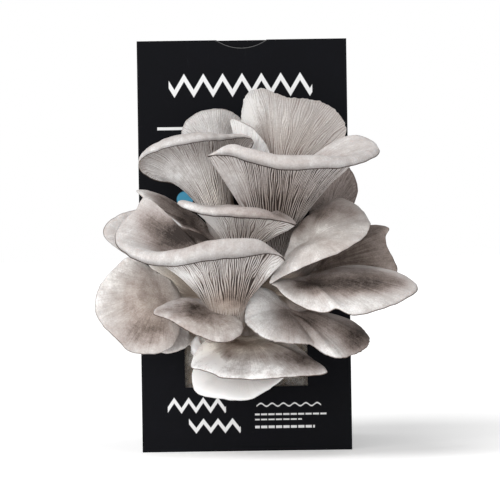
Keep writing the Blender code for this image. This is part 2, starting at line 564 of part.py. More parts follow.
def main():
    clear_scene()
    parts = new_collection("oyster_mushroom_grow_kit")
    cutters = new_collection("cutters")
    cutters.hide_render = True
    add_carton(parts, cutters)
    add_lid(parts, cutters)
    add_dust_flap("dust_flap_left", -1, parts)
    add_dust_flap("dust_flap_right", 1, parts)
    add_substrate_block(parts)
    add_cluster_base(parts)
    knot_cutter = add_cutter("knot_room", mesh_from("knot_room", knot_shape(GAP)), cutters)
    add_grow_bag(parts, knot_cutter)
    add_mushrooms(parts, cutters, knot_cutter)


main()
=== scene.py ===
"""The looks of an oyster mushroom grow kit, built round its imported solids.

The carton, the lid and the dust flaps keep their solids and get printed board. The block, the film bag, the
knot of stems and each mushroom are replaced by finer surfaces that follow the same named values. Shapes are
worked out in millimetres, and become metres when a mesh is made of them.
"""
import math

import bpy
import numpy as np
from bpy.props import FloatProperty, FloatVectorProperty, IntProperty, PointerProperty
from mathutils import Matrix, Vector


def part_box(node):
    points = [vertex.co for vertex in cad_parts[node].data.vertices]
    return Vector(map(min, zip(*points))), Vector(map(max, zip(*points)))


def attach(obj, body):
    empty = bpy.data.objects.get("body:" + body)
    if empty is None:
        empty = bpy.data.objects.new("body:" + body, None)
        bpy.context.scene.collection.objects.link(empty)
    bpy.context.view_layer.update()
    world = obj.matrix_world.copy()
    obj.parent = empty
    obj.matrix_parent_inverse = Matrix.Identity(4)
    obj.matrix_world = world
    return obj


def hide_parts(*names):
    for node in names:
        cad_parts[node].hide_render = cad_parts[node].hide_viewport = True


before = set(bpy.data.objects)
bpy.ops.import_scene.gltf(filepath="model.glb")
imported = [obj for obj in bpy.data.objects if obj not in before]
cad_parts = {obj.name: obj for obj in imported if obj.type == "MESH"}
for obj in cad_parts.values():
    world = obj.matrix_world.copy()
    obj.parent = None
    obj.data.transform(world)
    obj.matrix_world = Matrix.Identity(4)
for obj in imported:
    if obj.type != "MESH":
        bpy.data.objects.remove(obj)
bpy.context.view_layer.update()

bl_info = {
    "name": "Oyster mushroom grow kit",
    "version": (1, 0, 0),
    "blender": (4, 5, 0),
    "location": "View3D > Sidebar > Grow kit",
    "description": "Dresses the packed solids of a mushroom grow kit",
    "category": "Add Mesh",
}

# The carton, and the arc of the thumb notch, which is centred above the front
MM = 0.001
CARTON_LOW, CARTON_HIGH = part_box("carton")
HALF_WIDTH = CARTON_HIGH[0] / MM
FRONT = CARTON_LOW[1] / MM
HEIGHT, BOARD = 255.0, 1.6
NOTCH_RADIUS, NOTCH_HEIGHT = 27.0, 277.0

# The eye that places on the cluster are sighted from, and the photograph's frame round it
EYE_DISTANCE = 1500.0
EYE_X, EYE_Z = 3.4, 124.6
PHOTO_PIXELS, PIXEL_SIZE = 500, 0.62
PHOTO_ROLL = 0.85
SENSOR_WIDTH = 36.0

# Steps of a closed curve between two of its points, and of a rim when its length is taken
CURVE_STEPS, RIM_STEPS = 32, 128

# The rings of a fine mushroom, how they crowd to the rim, and the columns it has to each pair of gills
STEM_ROWS, GILL_ROWS, TOP_ROWS = 10, 22, 18
GILL_CROWDING, TOP_CROWDING = 1.5, 1.6
HEART_RINGS = (0.75, 0.5, 0.25)
COLUMNS_PER_GILL = 6

# How many rows are eased to either side of the throat and of the heart, and in how many rounds
THROAT_EASE, HEART_EASE = (6, 12), (6, 30)

# The share of even steps in the spread of the spokes, and how far a stem runs straight at either end
SPOKE_EVENNESS, STEM_PULL = 0.35, 0.35

# A margin's height: its share at the back of the cap, and how late it grows to the front
LIP_BEHIND, LIP_POWER = 0.2, 1.5

# The flesh: how thick, how many times as thick it may be on steep spokes and how far out it is so in full,
# and how blunt its edge is
FLESH, STEEP_MOST, STEEP_FROM, EDGE_POWER = 3.0, 2.0, 0.4, 8

# How high the heart of a cap lies over its collar: a share of the cap's rise, and the most
HEART_SHARE, HEART_MOST = 0.3, 5.0

# How much of a crease in the solid is left in the fine mushroom, where folds are softer
CREASE_SHARE = 0.4

# How far a rim waves on a mushroom whose rim is at least so long, and the counts and shares of its waves up
# and down, in and out, and as a fine frill
RUFFLE, RUFFLE_LENGTH = 0.22, 260.0
WAVES_UP = (5, 9, 14, 23), (1.0, 0.8, 0.5, 0.35)
WAVES_OUT = (7, 12, 19, 31), (0.9, 0.7, 0.6, 0.4)
WAVES_FRILL = (26, 43, 61, 82), (0.9, 0.8, 0.7, 0.6)

# Gills: the weakest and how much stronger they can be, their sharpness, the height of the short ones between
# them, their most as a share of their spacing, and how much lower they are where it is calm
GILL_WEAKEST, GILL_RANGE, GILL_SHARPNESS = 0.6, 0.8, 1.3
SHORT_GILL, CROWDED_GILL, CALM_GILL = 0.85, 0.28, 0.85

# The zones over which gills rise on the stem, short ones come in, and all end at the margin
GILLS_RISE, SHORT_GILLS_RISE, GILLS_END = (0.8, 1.25), (1.45, 1.8), (1.9, 1.985)

# How gills sway: turns for each zone and size of five waves, and the sizes of two that run straight out
SWAY_TURNS, SWAY_SIZES = (0.7, -1.1, 1.9, -3.1, 4.3), (0.2, 0.18, 0.16, 0.16, 0.12)
STRAIGHT_SWAY = (0.12, 0.10)

# The span of the zones in a UV map
UV_ZONES = 4

# The fewest gills that a mushroom has, and how softly a spot ends at its standoff
FEWEST_GILLS, SPOT_FADE = 12, 6

# The soft suns: the property that holds their strength, their width in degrees, and where they shine to
SUNS = ("key", 34, (0.55, 0.6, -1.0)), ("front", 50, (0.5, 1.0, 0.0))
FLOOR_HALF = 30

# Each mushroom: the rim of its cap in order round it as (x, z, standoff), the throat, the foot in the knot,
# the radii there, how far the throat leans to the cap (lean), how hollow its gill side is (flare), how high
# its margin stands at the front and how wide it is (lip, inset), how dished its top is, its creases as
# (place round the rim, width, depth), and the tips where its margin has no height (flats). What an entry
# leaves out is as usual.
USUAL_FORM = dict(lean=0.4, flare=0.3, lip=2, inset=0.3, dish=0.1, creases=(), flats=())
FORMS = {
    "mushroom_top_right": dict(
        rim=[(-2, 180, 15), (-3, 192, 20), (-1, 207, 26), (3, 221, 33), (11, 225, 36), (22, 221, 37),
             (35, 218, 37), (48, 216.3, 36), (59, 209, 33), (64, 198, 29), (61, 188, 25), (52, 174, 13),
             (37, 162, 8), (20, 156, 5), (6, 164, 8)],
        throat=(22, 168, 22), foot=(8, 118, 10), radii=(6, 9), lean=0.3, inset=0.25, dish=0.6),
    "mushroom_top_middle": dict(
        rim=[(-6, 196, 30), (-7.5, 206.5, 33), (0, 204, 35), (6, 200.5, 35.5), (11, 195.5, 35),
             (15, 189.5, 33), (17, 183, 30), (14, 171, 24), (4, 159, 19), (-7, 169, 21), (-8, 188, 28)],
        throat=(2, 168, 30), foot=(2, 120, 16), radii=(4, 5), lean=0.3, lip=1, dish=0.4),
    "mushroom_top_left": dict(
        rim=[(-38, 196, 16), (-36, 204, 20), (-30, 209, 24), (-22, 212, 27), (-12, 212, 26),
             (-5, 209.5, 21), (-1, 205.5, 17), (-3, 195, 13), (-8, 178, 6), (-22, 175, 4), (-35, 184, 9)],
        throat=(-16, 186, 18), foot=(-5, 120, 8), radii=(4, 5), lean=0.3, lip=1, dish=0.4),
    "mushroom_upper_left": dict(
        rim=[(-40, 164, 32), (-46, 166.7, 35), (-53, 168, 40), (-60, 171.2, 46), (-64.8, 176.5, 53),
             (-62.5, 182, 60), (-57, 185.3, 66), (-48, 188.3, 71), (-35, 190.6, 73), (-22, 192.3, 71),
             (-10, 192.9, 60), (0, 194, 50), (6.8, 191, 43), (3, 185, 39), (-3, 173, 29), (-16, 162, 24),
             (-31, 157, 24)],
        throat=(-16, 147, 46), foot=(-6, 114, 14), radii=(7, 8.5), lean=0.3, flare=0.4, lip=16,
        inset=0.25, dish=0.7),
    "mushroom_upper_right": dict(
        rim=[(-22, 183.3, 84), (-12, 183.3, 91), (0, 180.2, 96), (12, 176, 99), (25, 173.7, 101),
             (40, 174, 100), (55, 174.2, 95), (68, 175.5, 87), (80, 180.3, 76), (84.5, 184.5, 67),
             (81, 189.5, 57), (71, 193.2, 48), (61, 191, 42), (50, 184, 38), (35, 178, 34), (15, 178, 42),
             (-5, 181, 64), (-17, 183, 76)],
        throat=(18, 131, 52), foot=(9, 110, 18), radii=(8, 11), flare=0.15, lip=15, inset=0.2, dish=0.6,
        flats=[(0, 0.03)]),
    "mushroom_back_right": dict(
        rim=[(44, 140, 10), (40, 158, 10), (44, 170, 12), (54, 178, 16), (62, 178, 20),
             (67, 173, 24), (70, 166, 26), (70.5, 159, 26), (68, 152.5, 24), (56, 138, 16)],
        throat=(52, 147, 24), foot=(10, 112, 8), radii=(4, 5), lean=0.3, lip=1, dish=0.4),
    "mushroom_middle": dict(
        rim=[(-41.5, 153.5, 78), (-34, 149.3, 87), (-20, 146, 96), (-5, 144.5, 102),
             (10, 143.7, 101), (22, 142, 95), (32.5, 139.8, 85), (28, 144, 76), (15, 147, 71),
             (7, 149, 63), (-2, 149.5, 57), (-10, 150, 58), (-22, 150.5, 62), (-36, 152.8, 71)],
        throat=(-3, 122, 65), foot=(0, 106, 20), radii=(5, 6), lean=0.3, flare=0.15, lip=9, inset=0.2,
        dish=0.6, flats=[(0.486, 0.08)]),
    "mushroom_big_front": dict(
        rim=[(-80, 132, 70), (-74.5, 123.5, 82), (-62, 117, 95), (-47, 115, 106), (-30, 117, 111),
             (-10, 119, 112), (8, 121, 108), (19.5, 121.5, 100), (25.3, 117.5, 93), (18, 117, 89),
             (7, 118, 82), (-5, 120.5, 73), (-15, 123, 66), (-28, 131.5, 66), (-43, 139.5, 62),
             (-51, 146, 62), (-57.5, 153, 62), (-62.3, 157.3, 61), (-66, 152.5, 60), (-71, 147, 59),
             (-77, 141, 61)],
        throat=(-12, 89, 70), foot=(-8, 80, 20), radii=(8, 11), flare=0.15, lip=17, inset=0.2, dish=0.75,
        flats=[(0.488, 0.06)]),
    "mushroom_left_blade": dict(
        rim=[(-66.3, 162.5, 46), (-63, 158.5, 49), (-60, 154.5, 51), (-56, 149.8, 52),
             (-50, 144.5, 52), (-42, 139.3, 51), (-31, 133, 50), (-20, 126.5, 48), (-15.5, 126, 44),
             (-19, 132, 38), (-29, 143, 34), (-39, 151.5, 34), (-48, 157.5, 35), (-56, 161, 38),
             (-62, 162.6, 42)],
        throat=(-36, 130, 34), foot=(-8, 108, 12), radii=(4, 5), flare=0.2, lip=1, dish=0.5),
    "mushroom_far_left": dict(
        rim=[(-60, 152, 36), (-66, 151, 38), (-73, 149.3, 40), (-80, 146.3, 42), (-86, 141.5, 43),
             (-87.5, 137, 43), (-85.5, 132.5, 42), (-78, 126, 40), (-68, 120, 38), (-58, 119, 32),
             (-48, 124, 26), (-46, 136, 22), (-52, 147, 28)],
        throat=(-59, 128, 22), foot=(-13, 89, 9), radii=(10.5, 7.6), lean=0.6),
    "mushroom_left_disc": dict(
        rim=[(-71, 121.5, 48), (-79, 116.5, 52), (-87, 108, 57), (-92, 99, 60), (-93.3, 90, 62),
             (-89.5, 80.5, 64), (-81, 71, 66), (-73, 63.5, 67), (-62, 60.8, 68), (-51, 62.3, 67),
             (-44, 68, 63), (-40.5, 78, 57), (-40, 90, 50), (-42, 101.5, 44), (-53, 109.5, 44),
             (-62, 116.5, 45)],
        throat=(-56, 94, 38), foot=(-13, 85.5, 9), radii=(7, 10), dish=0),
    "mushroom_left_pointed": dict(
        rim=[(-57.3, 86, 86), (-50, 82.8, 92), (-42, 78.7, 96), (-35, 74, 98), (-27, 70.5, 98),
             (-18, 67.6, 97), (-8, 68.5, 93), (-2.5, 73, 86), (-2, 78, 79), (-8, 84, 72), (-20, 90, 68),
             (-33, 94.5, 70), (-46, 93.5, 76)],
        throat=(-25, 75, 70), foot=(-8, 73, 18), radii=(4, 5)),
    "mushroom_left_low": dict(
        rim=[(-54, 62.5, 46), (-47, 61.3, 48), (-40, 63.3, 47), (-36, 66, 44), (-35, 71, 40),
             (-37, 79, 37), (-44, 83, 36), (-52, 78, 38), (-56, 69, 42)],
        throat=(-43, 70, 28), foot=(-12, 74, 8), radii=(4, 4), lip=1),
    "mushroom_low_back": dict(
        rim=[(-34, 66, 46), (-32.5, 61, 48), (-28, 59, 47), (-24, 62, 43), (-23, 68, 38),
             (-26, 72, 37), (-31, 71.5, 41)],
        throat=(-31, 62, 36), foot=(-10, 66, 10), radii=(3, 3.5), lip=1),
    "mushroom_right_saddle": dict(
        rim=[(15.5, 103.7, 84), (22, 106.3, 88), (30, 110, 92), (40, 114.7, 94), (50, 118.4, 94),
             (60, 122, 91), (68, 126.5, 86), (74, 131, 79), (78, 136.5, 71), (77.5, 141.5, 63),
             (73.5, 148, 54), (67, 153.6, 46), (60, 155.5, 42), (51, 152.3, 42), (43.5, 147.5, 50),
             (37, 142.3, 58), (32, 136, 66), (29, 130, 71), (25.5, 121, 77), (20, 112, 81)],
        throat=(42, 120, 66), foot=(13, 101, 15), radii=(5, 6), dish=0.4),
    "mushroom_right_back": dict(
        rim=[(94.5, 110, 46), (93, 116, 44), (90.5, 121, 42), (88.3, 127, 40), (88, 132.5, 38),
             (90, 136.3, 37), (87, 138.3, 35), (79, 139, 32), (66, 136, 27), (50, 127, 24), (36, 114, 26),
             (27, 108, 30), (22, 104.5, 36), (28, 101, 39), (42, 99, 42), (58, 98, 44), (76, 101, 45),
             (88, 105.5, 47)],
        throat=(47, 105, 25), foot=(14, 98, 7), radii=(4, 4), lip=1, dish=0.3),
    "mushroom_right_long": dict(
        rim=[(15, 103.5, 80), (20, 100, 84), (24, 95.5, 88), (30, 91.2, 92), (38, 87.3, 97),
             (46, 85.2, 100), (52, 85.6, 102), (56, 86.8, 102), (62, 84, 102), (70, 83.2, 100),
             (82, 86, 95), (93, 89.5, 88), (102, 94, 80), (107.3, 98.5, 74), (105, 103.3, 68),
             (97, 108, 62), (86, 111.3, 57), (73, 113, 53), (60, 112.3, 51), (47, 108.3, 52),
             (34, 105.5, 58), (24, 104.8, 68)],
        throat=(38, 93, 66), foot=(12, 92, 16), radii=(5, 6), dish=0.3),
    "mushroom_right_low": dict(
        rim=[(-0.5, 82, 72), (0.5, 78, 75), (4, 75, 78), (9, 70.7, 81), (15, 68, 82), (24, 66.7, 82),
             (33, 65.8, 80), (39, 65, 76), (42.5, 63.5, 73), (46, 60.8, 74), (52, 57.8, 77),
             (59.5, 56.8, 77), (66.5, 58.6, 74), (72.5, 61.5, 70), (76.5, 66, 65), (76, 70, 59),
             (71, 76, 54), (62, 80.5, 49), (52, 82, 45), (40, 84, 42), (28, 87, 44), (17, 97, 54),
             (11, 100, 58), (5, 99.5, 62), (0.5, 92, 68)],
        throat=(22, 77, 52), foot=(8, 82, 14), radii=(5, 6), dish=0.05, creases=[(0.36, 0.03, 5)]),
    "mushroom_low_front": dict(
        rim=[(-34.5, 53, 62), (-31, 50.8, 68), (-22, 48.3, 74), (-17, 46.3, 77), (-5, 44.5, 81),
             (8, 44, 82), (20, 44.6, 81), (30, 45.5, 78), (42, 46, 72), (50.3, 47.7, 66), (45, 53, 56),
             (38, 59, 48), (30, 65, 42), (20, 68, 38), (5, 70, 37), (-10, 70.5, 40), (-22, 69.5, 48),
             (-29, 65, 56), (-33, 58, 60)],
        throat=(0, 56, 41), foot=(0, 66, 10), radii=(5, 6)),
    "mushroom_lowest": dict(
        rim=[(-33, 50.5, 50), (-33.8, 43, 54), (-31, 36.8, 58), (-25, 34, 62), (-15, 32.3, 65),
             (-4, 31.3, 66), (5, 33, 65), (11.5, 36.5, 62), (17.5, 40.5, 58), (24, 46, 50), (22, 50, 38),
             (4, 51, 30), (-16, 51, 32), (-28, 52, 42)],
        throat=(-4, 42, 34), foot=(-2, 58, 8), radii=(4, 5), dish=0.15),
}


def streak(start, end, half, strength):
    """A row of round spots from one place to another, about half their width apart."""
    count = round(math.dist(start, end) / half) + 1
    x, z = np.linspace(start, end, count).T
    return [(*place, half, half, strength) for place in zip(x, z)]


# Each mushroom's tones, from 0 for the palest flesh to 1 for the darkest: of its gill side, of the margin of
# its cap and of the cap's heart. The cap has the margin's tone for band millimetres from its rim, and the
# heart's after fall more. Lines is how much painted shade darkens the gaps between the gills, and line how
# much a painted shadow darkens the flesh right under the margin. Streaky and patchy are how far streaks along
# the spokes and patches vary the cap, and frill is how far the finest waves of the rim reach. Spots are
# (x, z, half width, half height, change of tone, and at will a standoff that they fade out at) as sighted;
# they paint real stains and also painted shade where they darken and painted highlights where they lighten.
# Calm places have flatter gills and fainter lines between them, and tan places a yellow tint.
USUAL_LOOK = dict(lines=0.3, frill=0, streaky=0.35, patchy=0.5, spots=(), calm=(), tan=())
LOOKS = {
    "mushroom_top_right": dict(
        gills=0.26, margin=0.2, heart=0.4, lines=0.75, line=0.1, band=10, fall=30, frill=0.16,
        spots=[(2, 210, 14, 18, -0.34), (13, 200, 5, 16, 0.2), (28, 206, 16, 9, -0.1),
               (22, 178, 20, 12, 0.14)],
        calm=[(2, 206, 16, 20, 0.6)],
        tan=[(30, 190, 30, 20, 0.12)]),
    "mushroom_top_middle": dict(
        gills=0.02, margin=0.1, heart=0.3, line=0.4, band=10, fall=20),
    "mushroom_top_left": dict(
        gills=0.1, margin=0.15, heart=0.4, lines=0.25, line=0.1, band=8, fall=20,
        spots=[(-8, 196, 8, 12, 0.12)]),
    "mushroom_upper_left": dict(
        gills=0.22, margin=0.3, heart=0.5, lines=1.3, line=0.9, band=9, fall=20,
        spots=[(-52, 172, 16, 12, -0.12), (-24, 170, 8, 12, -0.06), (-10, 186, 16, 6, 0.14),
               (-18, 157, 8, 7, -0.15), (-8, 150, 8, 12, 0.2)],
        calm=[(-44, 172, 16, 12, 0.9), (-28, 172, 9, 12, 0.5)],
        tan=[(-14, 158, 14, 14, 0.2)]),
    "mushroom_upper_right": dict(
        gills=0.25, margin=0.29, heart=0.4, lines=2.6, line=0.9, band=14, fall=20,
        spots=[(20, 150, 14, 26, 0.2), (38, 160, 20, 16, 0.12), (-5, 171, 11, 10, 0.06),
               (19, 143, 9, 8, 0.24)],
        calm=[(-13, 173, 12, 12, 0.8), (-3, 158, 11, 16, 0.8)],
        tan=[(22, 150, 18, 20, 0.15)]),
    "mushroom_back_right": dict(
        gills=0.6, margin=0.5, heart=0.7, line=0.2, band=5, fall=15,
        spots=[(66, 160, 5, 14, 0.05)]),
    "mushroom_middle": dict(
        gills=0.12, margin=0.48, heart=0.5, lines=1.5, line=0.9, band=11, fall=15,
        # Painted light on the shaded left of the gill side, and painted shade at the right end of the band
        spots=[(-28, 138, 14, 12, -0.5), (5, 134, 16, 9, 0.1), (-36, 154, 9, 6, -0.2),
               (19, 146, 8, 4, 0.2)],
        calm=[(-26, 138, 13, 16, 0.95)],
        tan=[(6, 134, 20, 12, 0.12)]),
    "mushroom_big_front": dict(
        gills=0.26, margin=0.26, heart=0.62, lines=2.2, line=0.95, band=12, fall=20, streaky=0.25,
        # Painted shade in the bowl under the left blade, and a painted shadow beside the blade's edge
        spots=[(-40, 107, 12, 9, -0.4), (19, 113, 7, 8, -0.16), (-57, 143, 10, 8, 0.5),
               (-37, 133, 18, 8, 0.42), (-45, 139, 7, 5, 0.12), (-33, 137, 6, 3, 0.4, 85),
               (-27, 133.5, 5, 3, 0.5, 85), (-23, 130.8, 4, 2.5, 0.5, 85), (-2, 100, 12, 12, 0.2),
               (16, 124, 14, 4, 0.16), (0, 124, 12, 4, 0.08), (-12, 91, 20, 7, 0.1),
               (-9, 95, 14, 7, 0.2)],
        calm=[(-38, 108, 12, 7, 0.8), (18, 112, 8, 8, 0.8), (-12, 90, 26, 10, 1.0)],
        tan=[(-12, 90, 26, 9, 0.3), (-6, 103, 16, 9, 0.1)]),
    "mushroom_left_blade": dict(
        gills=0.5, margin=0.55, heart=0.75, lines=0.2, line=0.2, band=1, fall=8,
        spots=[(-62, 159, 9, 7, -0.4), (-34, 142, 20, 8, 0.15),
               # Painted highlight: pale streaks along the lit lower edge of the blade
               *streak((-48, 146), (-41, 140.8), 1.3, -0.9),
               *streak((-41, 140.4), (-35, 135.9), 1.0, -0.8)]),
    "mushroom_far_left": dict(
        gills=0.14, margin=0.28, heart=0.5, lines=0.5, line=0.4, band=12, fall=20,
        spots=[(-46, 107, 16, 10, -0.25)],
        tan=[(-46, 107, 20, 14, 0.3)]),
    "mushroom_left_disc": dict(
        gills=0.3, margin=0.17, heart=0.5, lines=0.4, line=0.3, band=4, fall=18, streaky=0.12,
        patchy=0.65,
        spots=[(-58, 100, 16, 12, -0.05), (-64, 73, 24, 10, 0.4), (-45, 100, 9, 13, 0.14)],
        tan=[(-58, 92, 22, 24, 0.25)]),
    "mushroom_left_pointed": dict(
        gills=0.5, margin=0.38, heart=0.62, line=0.6, band=3, fall=14, streaky=0.2, patchy=0.9,
        spots=[(-32, 86, 9, 6, 0.26), (-8, 79, 7, 5, -0.12), (-18, 77, 8, 5, -0.15)],
        tan=[(-20, 80, 26, 10, 0.15)]),
    "mushroom_left_low": dict(
        gills=0.3, margin=0.2, heart=0.4, line=0.2, band=6, fall=12),
    "mushroom_low_back": dict(
        gills=0.1, margin=-0.2, heart=-0.1, line=0.1, band=8, fall=12),
    "mushroom_right_saddle": dict(
        gills=0.6, margin=0.27, heart=0.48, line=0.8, band=10, fall=26, streaky=0.5,
        # Painted shade along the upper edge and a painted highlight along the ridge
        spots=[(34, 139, 6, 8, 0.45), (44, 147, 9, 5, 0.42), (56, 151, 9, 5, 0.3),
               (66, 147, 7, 5, 0.25), (47, 137, 9, 4, -0.35), (38, 129, 8, 5, -0.2),
               (54, 127, 14, 4, 0.12)],
        tan=[(48, 136, 30, 20, 0.12)]),
    "mushroom_right_back": dict(
        gills=0.7, margin=0.6, heart=0.75, lines=0.2, line=0.3, band=3, fall=20, streaky=0.5,
        spots=[(80, 122, 16, 12, 0.06)],
        tan=[(70, 118, 40, 30, 0.15)]),
    "mushroom_right_long": dict(
        gills=0.6, margin=0.22, heart=0.5, line=0.8, band=6, fall=15, streaky=0.2,
        spots=[(36, 102, 13, 5, 0.24), (56, 103, 22, 6, 0.34), (78, 103, 16, 7, 0.28),
               (94, 103, 12, 6, 0.2), (64, 88, 14, 4, -0.12)],
        tan=[(56, 100, 40, 14, 0.05)]),
    "mushroom_right_low": dict(
        gills=0.5, margin=0.18, heart=0.42, lines=0.2, line=0.4, band=12, fall=22, frill=0.15,
        # The first spot is a painted shadow on the right lobe, under the long cap
        spots=[(70, 70, 18, 12, 0.76), (53, 61, 9, 7, -0.3), (36, 80, 14, 12, 0.48),
               (8, 84, 8, 14, -0.14), (24, 84, 8, 16, 0.12)],
        tan=[(46, 72, 40, 20, 0.03)]),
    "mushroom_low_front": dict(
        gills=0.3, margin=0.1, heart=0.28, line=0.8, band=11, fall=9, streaky=0.3, patchy=0.9,
        spots=[(-8, 68, 8, 4, 0.4), (-12, 60.5, 4, 3, 0.35), (37, 55, 14, 7, 0.7),
               (12, 58, 26, 3, 0.14), (-20, 59, 8, 6, -0.3)],
        tan=[(2, 66, 30, 7, 0.4)]),
    "mushroom_lowest": dict(
        gills=0.1, margin=-0.25, heart=-0.2, line=0.2, band=20, fall=20,
        # Painted shade along the lower margin
        spots=[(-8, 33.5, 28, 4, 0.12)]),
}


def colour_property(name, description, default):
    """A colour that is a property of a group."""
    return FloatVectorProperty(name=name, description=description, default=default, subtype="COLOR",
                               size=3, min=0.0, max=1.0)


class GROWKIT_PG_flesh(bpy.types.PropertyGroup):
    """The flesh of the mushrooms: its gills, and the colours that its tones run through."""
    gill_spacing: FloatProperty(name="Gill spacing", description="Between main gills at the rim",
                                default=0.0031, unit="LENGTH", min=0.0015)
    gill_depth: FloatProperty(name="Gill depth", description="How far gills stand out", default=0.0009,
                              unit="LENGTH", min=0.0)
    white: colour_property("White", "The palest flesh", (0.90, 0.89, 0.88))
    cream: colour_property("Cream", "Margins and young flesh", (0.56, 0.53, 0.515))
    mauve: colour_property("Mauve", "Between margin and heart", (0.385, 0.336, 0.318))
    brown: colour_property("Brown", "Old flesh", (0.19, 0.154, 0.138))
    dark: colour_property("Dark", "The darkest flesh", (0.036, 0.026, 0.022))
    stem: FloatProperty(name="Stem tone", description="Tone of the stems", default=0.32, subtype="FACTOR",
                        min=0.0, max=1.0)
    tan: colour_property("Tan", "Tint of the stems", (0.60, 0.50, 0.36))


class GROWKIT_PG_carton(bpy.types.PropertyGroup):
    """The colours of the carton."""
    black: colour_property("Black", "The print", (0.0018, 0.0020, 0.0034))
    white: colour_property("White", "The ornament", (0.80, 0.80, 0.80))
    blue: colour_property("Blue", "The round dot", (0.07, 0.30, 0.46))
    board: colour_property("Board", "The unprinted side", (0.30, 0.25, 0.20))
    edge: colour_property("Cut edge", "Where the board is cut", (0.50, 0.47, 0.42))


class GROWKIT_PG_block(bpy.types.PropertyGroup):
    """The block of substrate and its bag."""
    grain: FloatProperty(name="Grain", description="Size of the chips", default=0.002, unit="LENGTH",
                         min=0.0005)
    dark: colour_property("Chips", "Wood chips", (0.07, 0.055, 0.042))
    pale: colour_property("Threads", "White threads grown through it", (0.34, 0.31, 0.27))
    film: FloatProperty(name="Film", description="How much the film veils the block", default=0.16,
                        subtype="FACTOR", min=0.0, max=1.0)


class GROWKIT_PG_stage(bpy.types.PropertyGroup):
    """The floor and the lights."""
    paper: colour_property("Floor", "The studio floor", (0.93, 0.93, 0.93))
    glow: FloatProperty(name="Floor glow", description="Light that the floor gives off", default=0.3,
                        min=0.0)
    key: FloatProperty(name="Key light", description="Strength of the soft light from above", default=1.6,
                       min=0.0)
    front: FloatProperty(name="Front light", description="Strength of the soft light from the front",
                         default=2.15, min=0.0)
    fill: FloatProperty(name="Fill light", description="Strength of the light from all round",
                        default=0.48, min=0.0)


# Shapes that are used again and again

def unit(vectors):
    """Vectors over their own lengths."""
    return vectors / np.linalg.norm(vectors, axis=-1, keepdims=True)


def ease(low, high, x):
    """0 below low, 1 above high, and a smooth cubic between."""
    t = np.clip((x - low) / (high - low), 0, 1)
    return t * t * (3 - 2 * t)


def closed_curve(points, count):
    """A smooth closed curve through the points, as count points at even steps along it.

    Between two points it is a cubic whose second derivative runs evenly from one to the other, and the
    second derivatives are the ones that leave no corner anywhere.
    """
    after, before = np.roll(points, -1, axis=0), np.roll(points, 1, axis=0)
    step = np.linalg.norm(after - points, axis=1)
    step_before = np.roll(step, 1)
    own = np.arange(len(points))
    bend = np.diag(2 * (step + step_before))
    bend[own, own - 1] += step_before
    bend[own, (own + 1) % len(points)] += step
    slopes = (after - points) / step[:, None] - (points - before) / step_before[:, None]
    second = np.linalg.solve(bend, 6 * slopes)
    along = np.linspace(0, 1, CURVE_STEPS, endpoint=False)[None, :, None]
    there, span = 1 - along, step[:, None, None]
    second_end = np.roll(second, -1, axis=0)[:, None]
    sag = (there**3 - there) * second[:, None] + (along**3 - along) * second_end
    line = (there * points[:, None] + along * after[:, None] + sag * span**2 / 6).reshape(-1, 3)
    line = np.vstack((line, line[:1]))
    length = np.concatenate(([0], np.cumsum(np.linalg.norm(np.diff(line, axis=0), axis=1))))
    even = np.linspace(0, length[-1], count, endpoint=False)
    return np.stack([np.interp(even, length, line[:, axis]) for axis in range(3)], axis=1)


def shares(count):
    """The places of count columns round a closed curve, as shares of its length."""
    return np.arange(count) / count


def waves(u, counts, sizes, draws):
    """A sum of sine waves round a closed curve, each with a whole count and a drawn phase."""
    phases = draws.random(len(counts))
    total = np.zeros_like(u)
    for count, size, phase in zip(counts, sizes, phases):
        total = total + size * np.sin(2 * math.pi * (count * u + phase))
    return total


def bell(u, place, width):
    """1 at a place round the rim, given as a share of its length, falling off to either side of it."""
    off = (u - place + 0.5) % 1 - 0.5
    return np.exp(-(off / width)**2)


def saw(x):
    """A line of peaks: 1 at whole numbers, 0 halfway between them."""
    return np.abs(2 * (x - np.floor(x)) - 1)


def lumps(points, size, count, height, draws):
    """Height of a rough skin at points: a sum of sines along drawn directions, about size apart.

    Each sine's waves are from 0.6 to 1.5 times as close as the size asks.
    """
    directions = unit(draws.normal(size=(count, 3))) * (2 * math.pi / size)
    directions *= (0.6 + 0.9 * draws.random(count))[:, None]
    phases = 2 * math.pi * draws.random(count)
    return height * np.sin(points @ directions.T + phases).sum(axis=-1) / math.sqrt(count)


def squared_rings(heights, half_x, half_y, columns, power=14.0):
    """Rings of a block: at each height a super-ellipse, |x/a|^n + |y/b|^n = 1, read by its angle."""
    angle = np.arange(columns) * 2 * math.pi / columns
    c, s = np.cos(angle), np.sin(angle)
    radius = (np.abs(c)**power + np.abs(s)**power)**(-1 / power)
    x = half_x[:, None] * (radius * c)
    y = half_y[:, None] * (radius * s)
    return np.stack((x, y, np.broadcast_to(heights[:, None], x.shape)), axis=-1)


